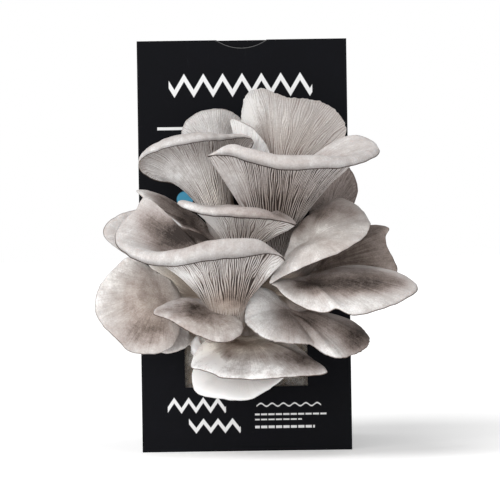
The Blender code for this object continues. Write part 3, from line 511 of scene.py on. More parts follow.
def closed_mesh(name, grid, first, last, zones=None, **layers):
    """A closed mesh over rows of equal count with a fan to a point at either end.

    Its UV map runs round the rows in x and through the zones in y. The zone of each row, and layers of
    values for each point, are kept as attributes.
    """
    zones = np.zeros(len(grid)) if zones is None else zones
    rows, columns, _ = grid.shape
    points = np.concatenate((grid.reshape(-1, 3), (first, last))) * MM
    index = np.arange(rows * columns).reshape(rows, columns)
    after = np.roll(index, -1, axis=1)
    quads = np.stack((index[:-1], after[:-1], after[1:], index[1:]), axis=-1).reshape(-1, 4)
    start, end = rows * columns, rows * columns + 1
    low_fan = np.stack((after[0], index[0], np.full(columns, start)), axis=-1)
    high_fan = np.stack((index[-1], after[-1], np.full(columns, end)), axis=-1)
    mesh = bpy.data.meshes.new(name)
    mesh.from_pydata(points.tolist(), [], quads.tolist() + low_fan.tolist() + high_fan.tolist())

    side = shares(columns)
    other = side + 1 / columns
    left, right = np.tile(side, rows - 1), np.tile(other, rows - 1)
    low, high = np.repeat(zones[:-1], columns) / UV_ZONES, np.repeat(zones[1:], columns) / UV_ZONES
    quad_uv = np.stack((left, low, right, low, right, high, left, high), axis=-1).reshape(-1, 2)
    first_v, last_v = [np.full(columns, zones[row] / UV_ZONES) for row in (0, -1)]
    low_uv = np.stack((other, first_v, side, first_v, side, first_v), axis=-1).reshape(-1, 2)
    high_uv = np.stack((side, last_v, other, last_v, side, last_v), axis=-1).reshape(-1, 2)
    uv = mesh.uv_layers.new(name="spokes")
    uv.data.foreach_set("uv", np.concatenate((quad_uv, low_uv, high_uv)).ravel())
    for label, values in {"zone": np.repeat(zones, columns).reshape(rows, columns), **layers}.items():
        layer = mesh.attributes.new(label, "FLOAT", "POINT")
        ends = values[0].mean(), values[-1].mean()
        layer.data.foreach_set("value", np.concatenate((values.ravel(), ends)))
    mesh.shade_smooth()
    return mesh


def add_piece(name, mesh, material, replaces, body="kit"):
    """A finished piece on its body, in place of the solids that it replaces."""
    obj = bpy.data.objects.new(name, mesh)
    bpy.context.scene.collection.objects.link(obj)
    mesh.materials.append(material)
    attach(obj, body)
    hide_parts(*replaces)


def box_corners(node):
    """The low and the high corner of a solid's box, in millimetres."""
    return [np.array(corner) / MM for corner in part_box(node)]


# The shape of a mushroom

def sighted(places):
    """Where places (x, z, standoff) lie: seen at (x, z) on the plane of the front, and standoff before it."""
    x, z, standoff = np.array(places, dtype=float).T
    nearer = 1 - standoff / EYE_DISTANCE
    return np.stack((EYE_X + (x - EYE_X) * nearer, FRONT - standoff, EYE_Z + (z - EYE_Z) * nearer), axis=-1)


def summed_spots(grid, spots):
    """A sum of bells round places that are given as sighted from the eye: for the spots, which are real
    stains and also painted shade and painted highlights, for calm places and for the tint.

    A spot may end with a standoff, which it fades out at, so that it marks only what is behind.
    """
    standoff = FRONT - grid[..., 1]
    nearer = 1 - standoff / EYE_DISTANCE
    x = EYE_X + (grid[..., 0] - EYE_X) / nearer
    z = EYE_Z + (grid[..., 2] - EYE_Z) / nearer
    total = np.zeros_like(x)
    for spot_x, spot_z, half_x, half_z, strength, *limit in spots:
        spot = strength * np.exp(-((x - spot_x) / half_x)**2 - ((z - spot_z) / half_z)**2)
        for before in limit:
            spot *= 1 - ease(before - SPOT_FADE, before + SPOT_FADE, standoff)
        total += spot
    return total


def rim_length(form):
    """The length of a mushroom's rim, as the sum of even steps along it."""
    outline = closed_curve(sighted(form["rim"]), RIM_STEPS)
    return np.linalg.norm(np.roll(outline, -1, axis=0) - outline, axis=1).sum()


def tipped(directions, normal, tangent):
    """Directions across a normal, turned with it as it tips to a tangent."""
    return directions @ np.array(Vector(normal).rotation_difference(Vector(tangent)).to_matrix()).T


def fanned(rim, throat, normal):
    """Directions across the normal from the throat, one to a column.

    Their angles are a share of even steps, and for the rest the bearings of the rim's own points.
    """
    across = unit(np.cross(normal, (0, 0, 1) if abs(normal[2]) < 0.9 else (1, 0, 0)))
    beside = np.cross(normal, across)
    spokes = rim - throat
    bearing = np.unwrap(np.arctan2(spokes @ beside, spokes @ across))
    even = shares(len(rim)) * 2 * math.pi
    even = even + (bearing - even).mean()
    angles = SPOKE_EVENNESS * even + (1 - SPOKE_EVENNESS) * bearing
    return np.cos(angles)[:, None] * across + np.sin(angles)[:, None] * beside


def ruffled(rim, throat, normal, form, look, draws):
    """The rim with waves along the normal and across it, smaller on small mushrooms, and its frill."""
    u = shares(len(rim))
    spokes = rim - throat
    outward = unit(spokes - (spokes @ normal)[:, None] * normal)
    ruffle = RUFFLE * min(rim_length(form) / RUFFLE_LENGTH, 1)
    rim = rim + normal * (ruffle * waves(u, *WAVES_UP, draws))[:, None]
    rim = rim + outward * (ruffle * waves(u, *WAVES_OUT, draws))[:, None]
    return rim + outward * (look["frill"] * waves(u, *WAVES_FRILL, draws))[:, None]


def stem_rings(form, foot, throat, normal, arriving, fan, steps):
    """Rings up a stem on a cubic Bezier curve that leaves the foot for the throat and ends as arriving.

    Their radius runs evenly from the foot's to the throat's, and each is tipped across the curve.
    """
    foot_radius, throat_radius = form["radii"]
    pull = STEM_PULL * np.linalg.norm(throat - foot)
    knee, neck = foot + unit(throat - foot) * pull, throat - arriving * pull
    rings = []
    for t in steps:
        spot = (1 - t)**3 * foot + 3 * t * (1 - t)**2 * knee + 3 * t**2 * (1 - t) * neck + t**3 * throat
        tangent = unit((1 - t)**2 * (knee - foot) + 2 * t * (1 - t) * (neck - knee) + t**2 * (throat - neck))
        radius = foot_radius + (throat_radius - foot_radius) * t
        rings.append(spot + radius * tipped(fan, normal, tangent))
    return rings


def margin_lift(t, inset):
    """How much of its height a margin has at t: a quarter ellipse over the margin, half a cosine within."""
    inward = 1 - t
    outer = np.sqrt(np.clip(1 - (1 - inward / inset)**2, 0, None))
    inner = 0.5 + 0.5 * np.cos(math.pi * (inward - inset) / (1 - inset))
    return np.where(inward < inset, outer, inner)


class Cap:
    """A cap as spokes from its collar, which is the ring round the throat, over a hollow to its rim.

    Its height is measured along its normal. Places along the spokes are t, from 0 at the collar to 1.
    """

    def __init__(self, form, rim, throat, collar, normal, rise):
        self.form, self.rim, self.throat, self.collar, self.normal, self.rise = (
            form, rim, throat, collar, normal, rise)
        reach = np.linalg.norm(rim - collar, axis=1)
        self.hollow = collar + (form["flare"] * reach)[:, None] * normal
        u = shares(len(rim))
        nearness = (rim[:, 1].max() - rim[:, 1]) / np.ptp(rim[:, 1])
        self.lips = form["lip"] * (LIP_BEHIND + (1 - LIP_BEHIND) * nearness**LIP_POWER)
        for place, width in form["flats"]:
            self.lips *= 1 - bell(u, place, width)
        self.dips = np.zeros(len(rim))
        for place, width, depth in form["creases"]:
            self.dips += CREASE_SHARE * depth * bell(u, place, width)

    def creased(self, t):
        """Depth of the creases: none at the collar, down along a parabola that levels off at the rim."""
        return self.dips * 1.5 * t * (1 - t / 2)

    def gill_side(self, steps):
        """Spokes that are quadratic Bezier curves, lifted by the margin's height and let down by creases."""
        t = steps[:, None, None]
        curve = (1 - t)**2 * self.collar + 2 * t * (1 - t) * self.hollow + t**2 * self.rim
        t = steps[:, None]
        height = self.lips * margin_lift(t, self.form["inset"]) * np.sqrt(t) - self.creased(t)
        return curve + height[..., None] * self.normal

    def top(self, steps):
        """The gill side raised by the flesh, and on to a level lid as far as the dish leaves.

        The flesh is a thickness that rounds off at the rim, more along the normal where spokes are steep,
        with a lift that fades from the collar outwards. The lid is a parabola from the rim's level to the
        heart's.
        """
        t = steps[:, None]
        under = self.gill_side(steps)
        along = (1 - t)[..., None] * (self.hollow - self.collar) + t[..., None] * (self.rim - self.hollow)
        climb = along @ self.normal
        level_run = np.linalg.norm(along - climb[..., None] * self.normal, axis=2)
        steep = np.minimum(np.hypot(climb, level_run) / np.maximum(level_run, 0.01), STEEP_MOST)
        flesh = FLESH * np.sqrt(1 - t**EDGE_POWER)
        collar_level, rim_level = self.collar @ self.normal, self.rim @ self.normal
        lift = collar_level.max() - collar_level + min(HEART_SHARE * self.rise, HEART_MOST)
        over = lift * (1 - t * t)**2 + flesh * (1 + (steep - 1) * np.minimum((t / STEEP_FROM)**2, 1))
        heart_level = self.throat @ self.normal + self.rise
        lid = (1 - t * t) * heart_level + t * t * rim_level + flesh - self.creased(t)
        room = np.maximum(lid - under @ self.normal - over, 0) * (1 - self.form["dish"])
        return under + (over + room)[..., None] * self.normal


def eased_rows(grid, centre, width, rounds):
    """Rows near a row drawn to the mean of the two beside them, most at the centre and none past width."""
    rows = np.arange(len(grid))
    weight = (1 - ease(0, width, np.abs(rows - centre)))[1:-1, None, None]
    for _ in range(rounds):
        grid[1:-1] += weight * 0.5 * ((grid[:-2] + grid[2:]) / 2 - grid[1:-1])
    return grid


def ridges(turn, gills, draws):
    """Saw-tooth ridges at whole turns, each of a drawn strength."""
    strength = (GILL_WEAKEST + GILL_RANGE * draws.random(gills))[np.floor(turn + 0.5).astype(int) % gills]
    return strength * saw(turn)**GILL_SHARPNESS


def gilled(grid, zones, gills, gill_depth, calm, draws):
    """The grid with its gills, and their sway to the side as a share of their spacing.

    Gills are ridges along the spokes, pushed out along the surface's own normal, with shorter ones between
    that fade out halfway to the stem. They sway by sine waves of the column and the zone, are lower where
    they are crowded or calm, and fade out down the stem and at the margin.
    """
    u, zone = shares(grid.shape[1]), zones[:, None]
    row_step = np.gradient(grid, axis=0)
    column_step = np.roll(grid, -1, axis=1) - np.roll(grid, 1, axis=1)
    facing = unit(np.cross(column_step, row_step) + 1e-12)
    spacing = np.linalg.norm(column_step, axis=2) / 2 * COLUMNS_PER_GILL
    sway = np.zeros(grid.shape[:2])
    for count, turns, size in zip((3, 7, 13, gills // 5, gills // 3), SWAY_TURNS, SWAY_SIZES):
        sway += size * np.sin(2 * math.pi * (count * u + turns * zone))
    sway += waves(u, (5, gills // 3), STRAIGHT_SWAY, draws)
    turn = gills * u + sway
    main = ridges(turn, gills, draws)
    short = ridges(turn - 0.5, gills, draws) * ease(*SHORT_GILLS_RISE, zone) * SHORT_GILL
    there = ease(*GILLS_RISE, zone) * (1 - ease(*GILLS_END, zone))
    calmed = 1 - CALM_GILL * np.minimum(summed_spots(grid, calm), 1)
    height = np.maximum(main, short) * there * np.minimum(gill_depth, CROWDED_GILL * spacing) * calmed
    return grid + height[..., None] * facing, sway


def mushroom_grid(form, look, gills, gill_depth, draws):
    """A grid of points (row, column) over one mushroom, the points that close it, and its layers.

    Rows climb the stem (zone 0 to 1), run out along the gill side from the throat to the rim (1 to 2), and
    come in over the cap (2 to 3), where a few rings close round its heart. Rows by the throat and the heart
    are eased. The layers are the zone of each row, the sway of the gills, and how far each point is from the
    rim along its column.
    """
    columns = gills * COLUMNS_PER_GILL
    rim = closed_curve(sighted(form["rim"]), columns)
    throat, foot = sighted([form["throat"], form["foot"]])
    normal = unit(np.cross(rim, np.roll(rim, -1, axis=0)).sum(axis=0))
    rise = (rim.mean(axis=0) - throat) @ normal
    arriving = unit((1 - form["lean"]) * unit(throat - foot) + form["lean"] * normal)
    fan = fanned(rim, throat, normal)
    rim = ruffled(rim, throat, normal, form, look, draws)
    collar = throat + form["radii"][1] * tipped(fan, normal, arriving)
    cap = Cap(form, rim, throat, collar, normal, rise)

    stem_steps = shares(STEM_ROWS)
    gill_steps = 1 - (1 - shares(GILL_ROWS))**GILL_CROWDING
    top_steps = 1 - (np.arange(1, TOP_ROWS + 1) / TOP_ROWS)**TOP_CROWDING
    stem = stem_rings(form, foot, throat, normal, arriving, fan, stem_steps)
    top = cap.top(top_steps)
    heart = top[-1].mean(axis=0)
    inner = [heart + share * (top[-1] - heart) for share in HEART_RINGS]
    grid = np.concatenate((stem, cap.gill_side(gill_steps), rim[None], top, inner))
    grid = eased_rows(grid, STEM_ROWS, *THROAT_EASE)
    grid = eased_rows(grid, STEM_ROWS + GILL_ROWS + TOP_ROWS, *HEART_EASE)
    zones = np.concatenate((stem_steps, 1 + gill_steps, [2.0], 3 - top_steps, [3.0] * len(inner)))

    climbed = np.cumsum(np.linalg.norm(np.diff(grid, axis=0, prepend=grid[:1]), axis=2), axis=0)
    edge = climbed - climbed[STEM_ROWS + GILL_ROWS]
    grid, sway = gilled(grid, zones, gills, gill_depth, look["calm"], draws)
    return grid, foot, heart, zones, sway, edge


# The shapes of the block, the bag and the knot

def rounded_end(share):
    """How much of its rounding an end leaves at a share of its height: a quarter circle."""
    return np.sqrt(np.clip(1 - np.clip(share, 0, 1)**2, 0, 1))


def rough_block(low, high, draws):
    """A block of rings with rounded ends, pitted all over by two sizes of lumps."""
    rows, columns, inset, end = 61, 300, 0.4, 7.0
    half = (high[0] - low[0]) / 2 - inset
    s = np.linspace(0, 1, rows)
    heights = low[2] + (high[2] - low[2]) * (s - 0.02 * np.sin(2 * math.pi * s))
    from_end = np.minimum(heights - low[2], high[2] - heights)
    shrink = 1 - (end / half) * (1 - rounded_end(1 - from_end / end))
    rings = squared_rings(heights, half * shrink, half * shrink, columns)
    middle = np.array((0, 0, (low[2] + high[2]) / 2))
    rough = lumps(rings, 9.0, 24, 0.35, draws) + lumps(rings, 3.5, 24, 0.25, draws)
    rings = rings - unit(rings - middle) * np.abs(rough)[..., None]
    return closed_mesh("substrate_block_rough", rings, (0, 0, low[2]), (0, 0, high[2]))


def creased_bag(low, high, draws):
    """A bag of rings that fold together from its shoulder to a flat ridge, drawn in by upright creases."""
    shoulder, ridge_half, edge, columns, middle = 196.0, 7.0, 6.0, 320, (0, 0, 110.0)
    half = (high[0] - low[0]) / 2
    heights = np.concatenate((np.linspace(low[2], shoulder, 60), np.linspace(shoulder, high[2], 30)[1:]))
    half_x = half - edge * (1 - rounded_end(1 - (heights - low[2]) / edge))
    climb = np.clip((heights - shoulder) / (high[2] - shoulder), 0, 1)
    half_y = half_x * (1 - climb) + ridge_half * climb
    half_x = half_x * (1 - 0.03 * climb)
    rings = squared_rings(heights, half_x, half_y, columns)
    creases = lumps(rings * (1, 1, 0.35), 16.0, 16, 0.25, draws) + lumps(rings, 7.0, 16, 0.12, draws)
    folds = lumps(rings * (1, 0.2, 0.4), 12.0, 12, 1.2, draws)
    creases = np.abs(creases) + climb[:, None] * np.abs(folds)
    rings = rings - unit(rings - middle) * creases[..., None]
    return closed_mesh("grow_bag_film", rings, (0, 0, low[2]), (0, 0, high[2] - 0.3))


def ribbed_knot(low, high, draws):
    """An egg, flat against the bag behind it, sunk by upright ribs and lumps along its normal."""
    rows, columns, half_depth, sink = 82, 160, 15.0, 0.7
    half = np.array(((high[0] - low[0]) / 2, half_depth, (high[2] - low[2]) / 2))
    centre = np.array(((low[0] + high[0]) / 2, low[1] + half_depth, (low[2] + high[2]) / 2))
    polar = np.linspace(0, math.pi, rows)[1:-1, None]
    angle = np.arange(columns) * 2 * math.pi / columns
    globe = np.stack((np.sin(polar) * np.cos(angle), np.sin(polar) * np.sin(angle),
                      -np.cos(polar) * np.ones_like(angle)), axis=-1)
    points = centre + half * globe
    ribs = lumps(points * (1, 1, 0.18), 6.0, 20, 0.8, draws)
    ribs += lumps(points * (1, 1, 0.5), 3.0, 20, 0.25, draws)
    points = points + unit(globe / half) * (-sink * np.abs(ribs))[..., None]
    points[..., 1] = np.minimum(points[..., 1], high[1])
    return closed_mesh("cluster_base_ribbed", points, centre - (0, 0, half[2]), centre + (0, 0, half[2]))


# Materials

class Wire:
    """A socket in a material. Arithmetic on wires adds Math nodes."""

    def __init__(self, graph, socket):
        self.graph = graph
        self.socket = socket

    def __add__(self, other):
        return self.graph.maths("ADD", self, other)

    __radd__ = __add__

    def __mul__(self, other):
        return self.graph.maths("MULTIPLY", self, other)

    __rmul__ = __mul__

    def __sub__(self, other):
        return self.graph.maths("SUBTRACT", self, other)

    def __rsub__(self, other):
        return self.graph.maths("SUBTRACT", other, self)

    def __truediv__(self, other):
        return self.graph.maths("DIVIDE", self, other)

    def __pow__(self, other):
        return self.graph.maths("POWER", self, other)

    def __abs__(self):
        return self.graph.maths("ABSOLUTE", self)

    def __lt__(self, other):
        return self.graph.maths("LESS_THAN", self, other)

    def __gt__(self, other):
        return self.graph.maths("GREATER_THAN", self, other)

    def __or__(self, other):
        return self.graph.maths("MAXIMUM", self, other)

    def __mod__(self, other):
        return self.graph.maths("FLOORED_MODULO", self, other)

    def eased(self, low, high):
        """0 at low and 1 at high, smoothly between, either way round."""
        return self.graph.node("ShaderNodeMapRange", {"interpolation_type": "SMOOTHSTEP"},
                               {"Value": self, "From Min": low, "From Max": high})

    def swing(self, size):
        """A pattern's swing to either side of its mean of a half, times a size."""
        return (self - 0.5) * size


class Graph:
    """The nodes of one material, and the few kinds that are used again and again."""

    def __init__(self, name):
        self.material = bpy.data.materials.new(name)
        self.material.use_nodes = True
        self.tree = self.material.node_tree
        self.tree.nodes.clear()

    def node(self, kind, settings=None, inputs=None, output=0):
        """Any node: its type, its settings, then the values or wires of its sockets; its output as a wire.

        The colours of a ramp are a setting too: its stops, at even steps from 0 to 1.
        """
        made = self.tree.nodes.new(kind)
        for key, value in (settings or {}).items():
            if key == "stops":
                self.set_stops(made.color_ramp.elements, value)
            else:
                setattr(made, key, value)
        for key, value in (inputs or {}).items():
            if isinstance(value, Wire):
                self.tree.links.new(value.socket, made.inputs[key])
            else:
                made.inputs[key].default_value = value
        return Wire(self, made.outputs[output]) if made.outputs else None

    def set_stops(self, stops, colours):
        """Colours at even steps along a ramp, which has two stops to begin with."""
        for number, colour in enumerate(colours):
            place = number / (len(colours) - 1)
            stop = stops[0] if number == 0 else stops[-1] if place == 1 else stops.new(place)
            stop.color = (*colour[:3], 1.0)

    def maths(self, operation, *values):
        """One Math node on values and wires."""
        return self.node("ShaderNodeMath", {"operation": operation}, dict(enumerate(values)))

    def mix(self, share, a, b, blend="MIX"):
        """A colour mixed from a to b by share, or a times b where the blend is so."""
        a, b = [value if isinstance(value, Wire) else (*value[:3], 1.0) for value in (a, b)]
        return self.node("ShaderNodeMix", {"data_type": "RGBA", "blend_type": blend},
                         {0: share, 6: a, 7: b}, 2)

    def place(self):
        """Object coordinates, which are the frame's own."""
        return self.node("ShaderNodeTexCoord", output="Object")

    def attribute(self, name):
        """A layer of values that the mesh carries."""
        return self.node("ShaderNodeAttribute", {"attribute_name": name}, output="Fac")

    def axes(self, vector):
        """The three parts of a vector."""
        first = self.node("ShaderNodeSeparateXYZ", None, {0: vector})
        return [Wire(self, socket) for socket in first.socket.node.outputs]

    def stretched(self, vector, scale):
        """A vector times a scale for each axis."""
        return self.node("ShaderNodeVectorMath", {"operation": "MULTIPLY"}, {0: vector, 1: scale})

    def noise(self, vector, scale, detail=3.0, roughness=0.6):
        """A cloudy pattern from 0 to 1 whose largest clouds are about one over its scale across."""
        return self.node("ShaderNodeTexNoise", None,
                         {"Vector": vector, "Scale": scale, "Detail": detail, "Roughness": roughness})

    def ramp(self, level, colours):
        """Colours at even steps from level 0 to 1, mixed between."""
        return self.node("ShaderNodeValToRGB", {"stops": colours}, {0: level})

    def bump(self, height, distance, strength):
        """A normal bent by a height, where a height of 1 is a distance in metres."""
        return self.node("ShaderNodeBump", None,
                         {"Height": height, "Distance": distance, "Strength": strength})

    def surface(self, **values):
        """The Principled shader with its sockets by name, words joined by underlines, into the output."""
        inputs = {key.replace("_", " "): value for key, value in values.items()}
        self.node("ShaderNodeOutputMaterial", None, {0: self.node("ShaderNodeBsdfPrincipled", None, inputs)})
        return self.material


def dimmed(colour, share):
    """A colour with each part times a share."""
    return tuple(part * share for part in colour)


def flesh_material(name, flesh, look, gills):
    """Flesh whose tone adds up from where it is, its ribs, its spots and fine felt, and is then coloured.

    The gill side is darker between the ribs with painted shade, most halfway out, the cap is darker to its
    heart, a dark line of painted shadow runs right under the margin, and the spots add stains, painted shade
    and painted highlights.
    """
    g = Graph(name)
    zone, sway, edge, stain, calm, tan = [g.attribute(layer) for layer in
                                          ("zone", "sway", "edge", "stain", "calm", "tan")]
    spokes = g.node("ShaderNodeUVMap", {"uv_map": "spokes"})
    u = g.axes(spokes)[0]
    place = g.place()

    # Streaks and hairs run along the spokes, and felt, clouds and patches lie anywhere
    streaks = g.noise(g.stretched(spokes, (gills * 1.6, 6.0, 1.0)), 1.0)
    hairs = g.noise(g.stretched(spokes, (gills * 5.0, 14.0, 1.0)), 1.0, roughness=0.65)
    felt = g.noise(place, 1100.0, roughness=0.65)
    cloud = g.noise(place, 28.0, roughness=0.55)
    patches = g.noise(place, 150.0, detail=4.0, roughness=0.65)

    # The gill side: how far each place is from the middle of its gap, where short gills halve the gaps
    out = zone - 1.0
    turn = (u * gills + sway + streaks.swing(0.5)) % gills
    ridge = abs((turn % 1.0) * 2.0 - 1.0)
    halved = out.eased(0.45, 0.75)
    ridge = ridge + halved * (abs(ridge * 2.0 - 1.0) - ridge)
    own = g.node("ShaderNodeTexWhiteNoise", {"noise_dimensions": "1D"}, {"W": g.maths("FLOOR", turn)})
    # Painted shade: darker in the gaps between the gills, where shade falls, most halfway out
    between = 1.0 - ridge.eased(0.05, 0.55 + 0.25 * own)
    drawn = out.eased(-0.2, 0.2) * (1.0 - 0.65 * out.eased(0.2, 0.98)) * (1.0 - calm) * look["lines"]
    gill_side = look["gills"] + between * drawn * (0.6 + 0.5 * own + streaks.swing(0.9))
    gill_side = gill_side + cloud.swing(0.2) + hairs.swing(0.5) + patches.swing(0.1 + 0.5 * calm)

    # The cap, from its margin inwards, and the stem
    inward = (edge + cloud.swing(16.0) + streaks.swing(5.0)).eased(look["band"], look["band"] + look["fall"])
    cap = look["margin"] + inward * (look["heart"] - look["margin"]) + patches.swing(look["patchy"])
    cap = cap + hairs.swing(0.22) + streaks.swing(0.08 + look["streaky"] * inward)
    stalk = flesh.stem + (streaks - 0.4) * 0.5 + hairs.swing(0.2)

    on_gills, on_cap = zone.eased(0.5, 0.95), zone.eased(1.985, 2.005)
    tone = stalk + on_gills * (gill_side - stalk)
    tone = tone + on_cap * (cap - tone)
    # A painted shadow right under the margin, and the spots: real stains, painted shade and painted
    # highlights
    margin_shadow = 1.0 - abs(edge + 0.15).eased(0.25, 0.95)
    tone = tone + stain + margin_shadow * look["line"] + felt.swing(0.34)
    colour = g.ramp(tone, (flesh.white, flesh.cream, flesh.mauve, flesh.brown, flesh.dark))
    tint = dimmed(flesh.tan, len(flesh.tan) / sum(flesh.tan))
    tinted = g.mix(((1.0 - on_gills) * 0.4) | tan, colour, tint, "MULTIPLY")
    return g.surface(Base_Color=tinted, Roughness=0.6 + 0.2 * felt,
                     Normal=g.bump(hairs * 0.5 + felt * 0.45 + streaks * 0.4, 0.0005, 0.7),
                     Subsurface_Weight=0.1, Subsurface_Radius=(0.003, 0.002, 0.0015),
                     Subsurface_Scale=1.0, Specular_IOR_Level=0.25)


def stroke(distance, half, soft=0.15):
    """1 within half of a line, falling to 0 over a soft edge, in millimetres."""
    return 1.0 - distance.eased(half - soft, half + soft)


def within(x, z, x_range, z_range):
    """1 inside a box on the front, 0 outside."""
    return (x > x_range[0]) * (x < x_range[1]) * (z > z_range[0]) * (z < z_range[1])


def zigzag(x, pitch, height):
    """A line that has its height at each whole pitch of x and falls to 0 halfway."""
    return abs(((x / pitch) % 1.0) * 2.0 - 1.0) * height


def ornament(g, x, z):
    """The white marks on the front, in millimetres: zigzags, a dash, a wavy line and three broken rules.

    A zigzag's height over a place, times the cosine of its slope, is its distance from there.
    """
    band = stroke(abs(z - 222.0 - zigzag(x, 12.0, 10.0)) * 0.52, 1.25)
    band = band * within(x, z, (-45.5, 43.5), (219.0, 235.0))
    dash = stroke(abs(z - 200.5), 0.9) * within(x, z, (-53.0, -34.0), (199.0, 202.0))
    low = zigzag(x, 9.0, 6.5)
    motif = stroke(abs(z - 25.5 - low) * 0.57, 1.0) * within(x, z, (-49.0, -13.0), (23.0, 34.5))
    motif = motif | stroke(abs(z - 13.0 - low * 0.9) * 0.57, 1.0) * within(x, z, (-36.0, -4.0), (10.5, 21.5))
    wave = g.maths("SINE", x * 0.9) * 0.9
    wavy = stroke(abs(z - 28.5 - wave), 0.45) * within(x, z, (6.0, 46.0), (26.0, 31.0))
    rules = stroke(abs(z - 22.6), 0.55) * within(x, z, (5.0, 50.0), (21.0, 24.0))
    rules = rules | stroke(abs(z - 19.4), 0.45) * within(x, z, (5.0, 34.0), (18.0, 21.0))
    rules = rules | stroke(abs(z - 14.8), 0.8) * within(x, z, (5.0, 42.0), (13.0, 17.0))
    return band | dash | motif | wavy | rules * (((x + 1.3) % 4.6) > 0.8)


def print_material(name, carton):
    """Near-black print on the outer faces, bare board within, a paler cut edge, and a white ornament."""
    g = Graph(name)
    place = g.place()
    x, y, z = [axis * 1000.0 for axis in g.axes(place)]
    skin, tongue_front, tongue_back = 0.06, FRONT + BOARD + 1.2, FRONT + BOARD + 1.36
    front = y < FRONT + skin
    outer = (abs(x) > HALF_WIDTH - skin) | (abs(y) > HALF_WIDTH - skin) | (z > HEIGHT - skin) | (z < skin)
    tongue = (y < tongue_back) * (y > tongue_front)
    fold = (y < FRONT + BOARD + 2.3) * (y > tongue_front) * (z > 253.3)
    outer = outer | tongue | fold
    fibres = g.noise(g.stretched(place, (1.0, 1.0, 3.0)), 700.0)
    blotch = g.noise(place, 60.0, roughness=0.55)
    scuffs = g.noise(g.stretched(place, (1.0, 1.0, 0.12)), 420.0, detail=5.0, roughness=0.7)

    # The black is rubbed paler along the outer corners, scuffed, and cut along the notch
    corner = (HALF_WIDTH - abs(x)) | (HALF_WIDTH - abs(y))
    rubbed = (1.0 - corner.eased(0.0, 1.1)) * blotch.eased(0.4, 0.75) * 0.3
    black = g.mix(blotch.eased(0.3, 0.8) * 0.5, carton.black, dimmed(carton.black, 1.7))
    black = g.mix(rubbed, black, (0.10, 0.10, 0.11))
    scuffed = scuffs.eased(0.6, 0.8) * blotch.eased(0.35, 0.7) * (0.3 - 0.2 * front)
    black = g.mix(scuffed, black, (0.07, 0.07, 0.075))
    notch_edge = stroke(abs((x**2 + (z - NOTCH_HEIGHT)**2)**0.5 - NOTCH_RADIUS), 0.3, 0.12) * front
    black = g.mix(notch_edge, black, (0.11, 0.11, 0.11))

    printed = g.mix(ornament(g, x, z) * front * (0.9 + 0.1 * fibres), black, carton.white)
    dot = stroke(((x + 36.5)**2 + (z - 156.5)**2)**0.5, 5.0, 0.3) * front
    printed = g.mix(dot, printed, carton.blue)
    bare = g.mix(fibres.eased(0.3, 0.7) * 0.5, carton.board, dimmed(carton.board, 0.7))
    cut = ((y < FRONT + BOARD) | (z > 253.2)) * (1.0 - outer)
    bare = g.mix(cut, bare, carton.edge)
    return g.surface(Base_Color=g.mix(outer, bare, printed), Roughness=0.75 - 0.25 * outer + 0.12 * blotch,
                     Specular_IOR_Level=0.08, Normal=g.bump(fibres * 0.4 + blotch * 0.6, 0.0003, 0.35))


def board_material(name, carton):
    """Bare board with fibres along it and a few dark flecks."""
    g = Graph(name)
    place = g.place()
    fibres = g.noise(g.stretched(place, (1.0, 6.0, 6.0)), 400.0, detail=4.0, roughness=0.65)
    flecks = g.noise(place, 1500.0, detail=1.0, roughness=0.5)
    colour = g.mix(fibres.eased(0.25, 0.75), carton.board, dimmed(carton.board, 0.72))
    colour = g.mix(flecks.eased(0.66, 0.72) * 0.5, colour, (0.12, 0.09, 0.07))
    return g.surface(Base_Color=colour, Roughness=0.75 + 0.15 * fibres, Normal=g.bump(fibres, 0.0002, 0.5))


def substrate_material(block):
    """Wood chips in cells of several sizes, with pale threads grown over them in patches."""
    g = Graph("substrate")
    place = g.place()
    cells = g.node("ShaderNodeTexVoronoi", None, {"Vector": place, "Scale": 1.0 / block.grain}, "Color")
    chip = g.axes(cells)[0]
    fine = g.noise(place, 900.0, roughness=0.7)
    veil = g.noise(place, 90.0, detail=4.0, roughness=0.65)
    colour = g.mix(chip, block.dark, (0.20, 0.155, 0.11))
    colour = g.mix(fine.eased(0.45, 0.75) * 0.5, colour, (0.06, 0.05, 0.04))
    colour = g.mix((veil + fine.swing(0.5)).eased(0.5, 0.7) * 0.7, colour, block.pale)
    return g.surface(Base_Color=colour, Roughness=0.85, Normal=g.bump(chip * 0.6 + fine * 0.5, 0.0008, 0.8))


def film_material(block):
    """Clear film that veils what is under it, more where it is creased or misted."""
    g = Graph("film")
    place = g.place()
    mist = g.noise(place, 70.0, detail=4.0)
    creases = g.noise(g.stretched(place, (1.0, 1.0, 0.5)), 120.0, roughness=0.55)
    ridge = (1.0 - abs(creases - 0.5) * 9.0).eased(0.3, 1.0)
    alpha = block.film * 0.5 + mist.eased(0.4, 0.75) * (block.film * 0.8) + ridge * 0.25
    return g.surface(Base_Color=(0.40, 0.39, 0.37, 1.0), Roughness=0.18 + 0.15 * mist, Alpha=alpha,
                     Normal=g.bump(ridge * 0.7 + mist, 0.001, 0.7), Specular_IOR_Level=0.6)


def knot_material(flesh):
    """Flesh of young stems: ribs that run up, in patches of two browns."""
    g = Graph("stem_knot")
    place = g.place()
    ribs = g.noise(g.stretched(place, (1.0, 1.0, 0.22)), 320.0, detail=4.0)
    patches = g.noise(place, 60.0)
    colour = g.mix(ribs.eased(0.35, 0.65) * 0.85, flesh.mauve, flesh.brown)
    colour = g.mix(patches.eased(0.4, 0.7) * 0.7, colour, (0.15, 0.11, 0.07))
    return g.surface(Base_Color=colour, Roughness=0.6 + 0.15 * ribs, Normal=g.bump(ribs, 0.001, 0.8))


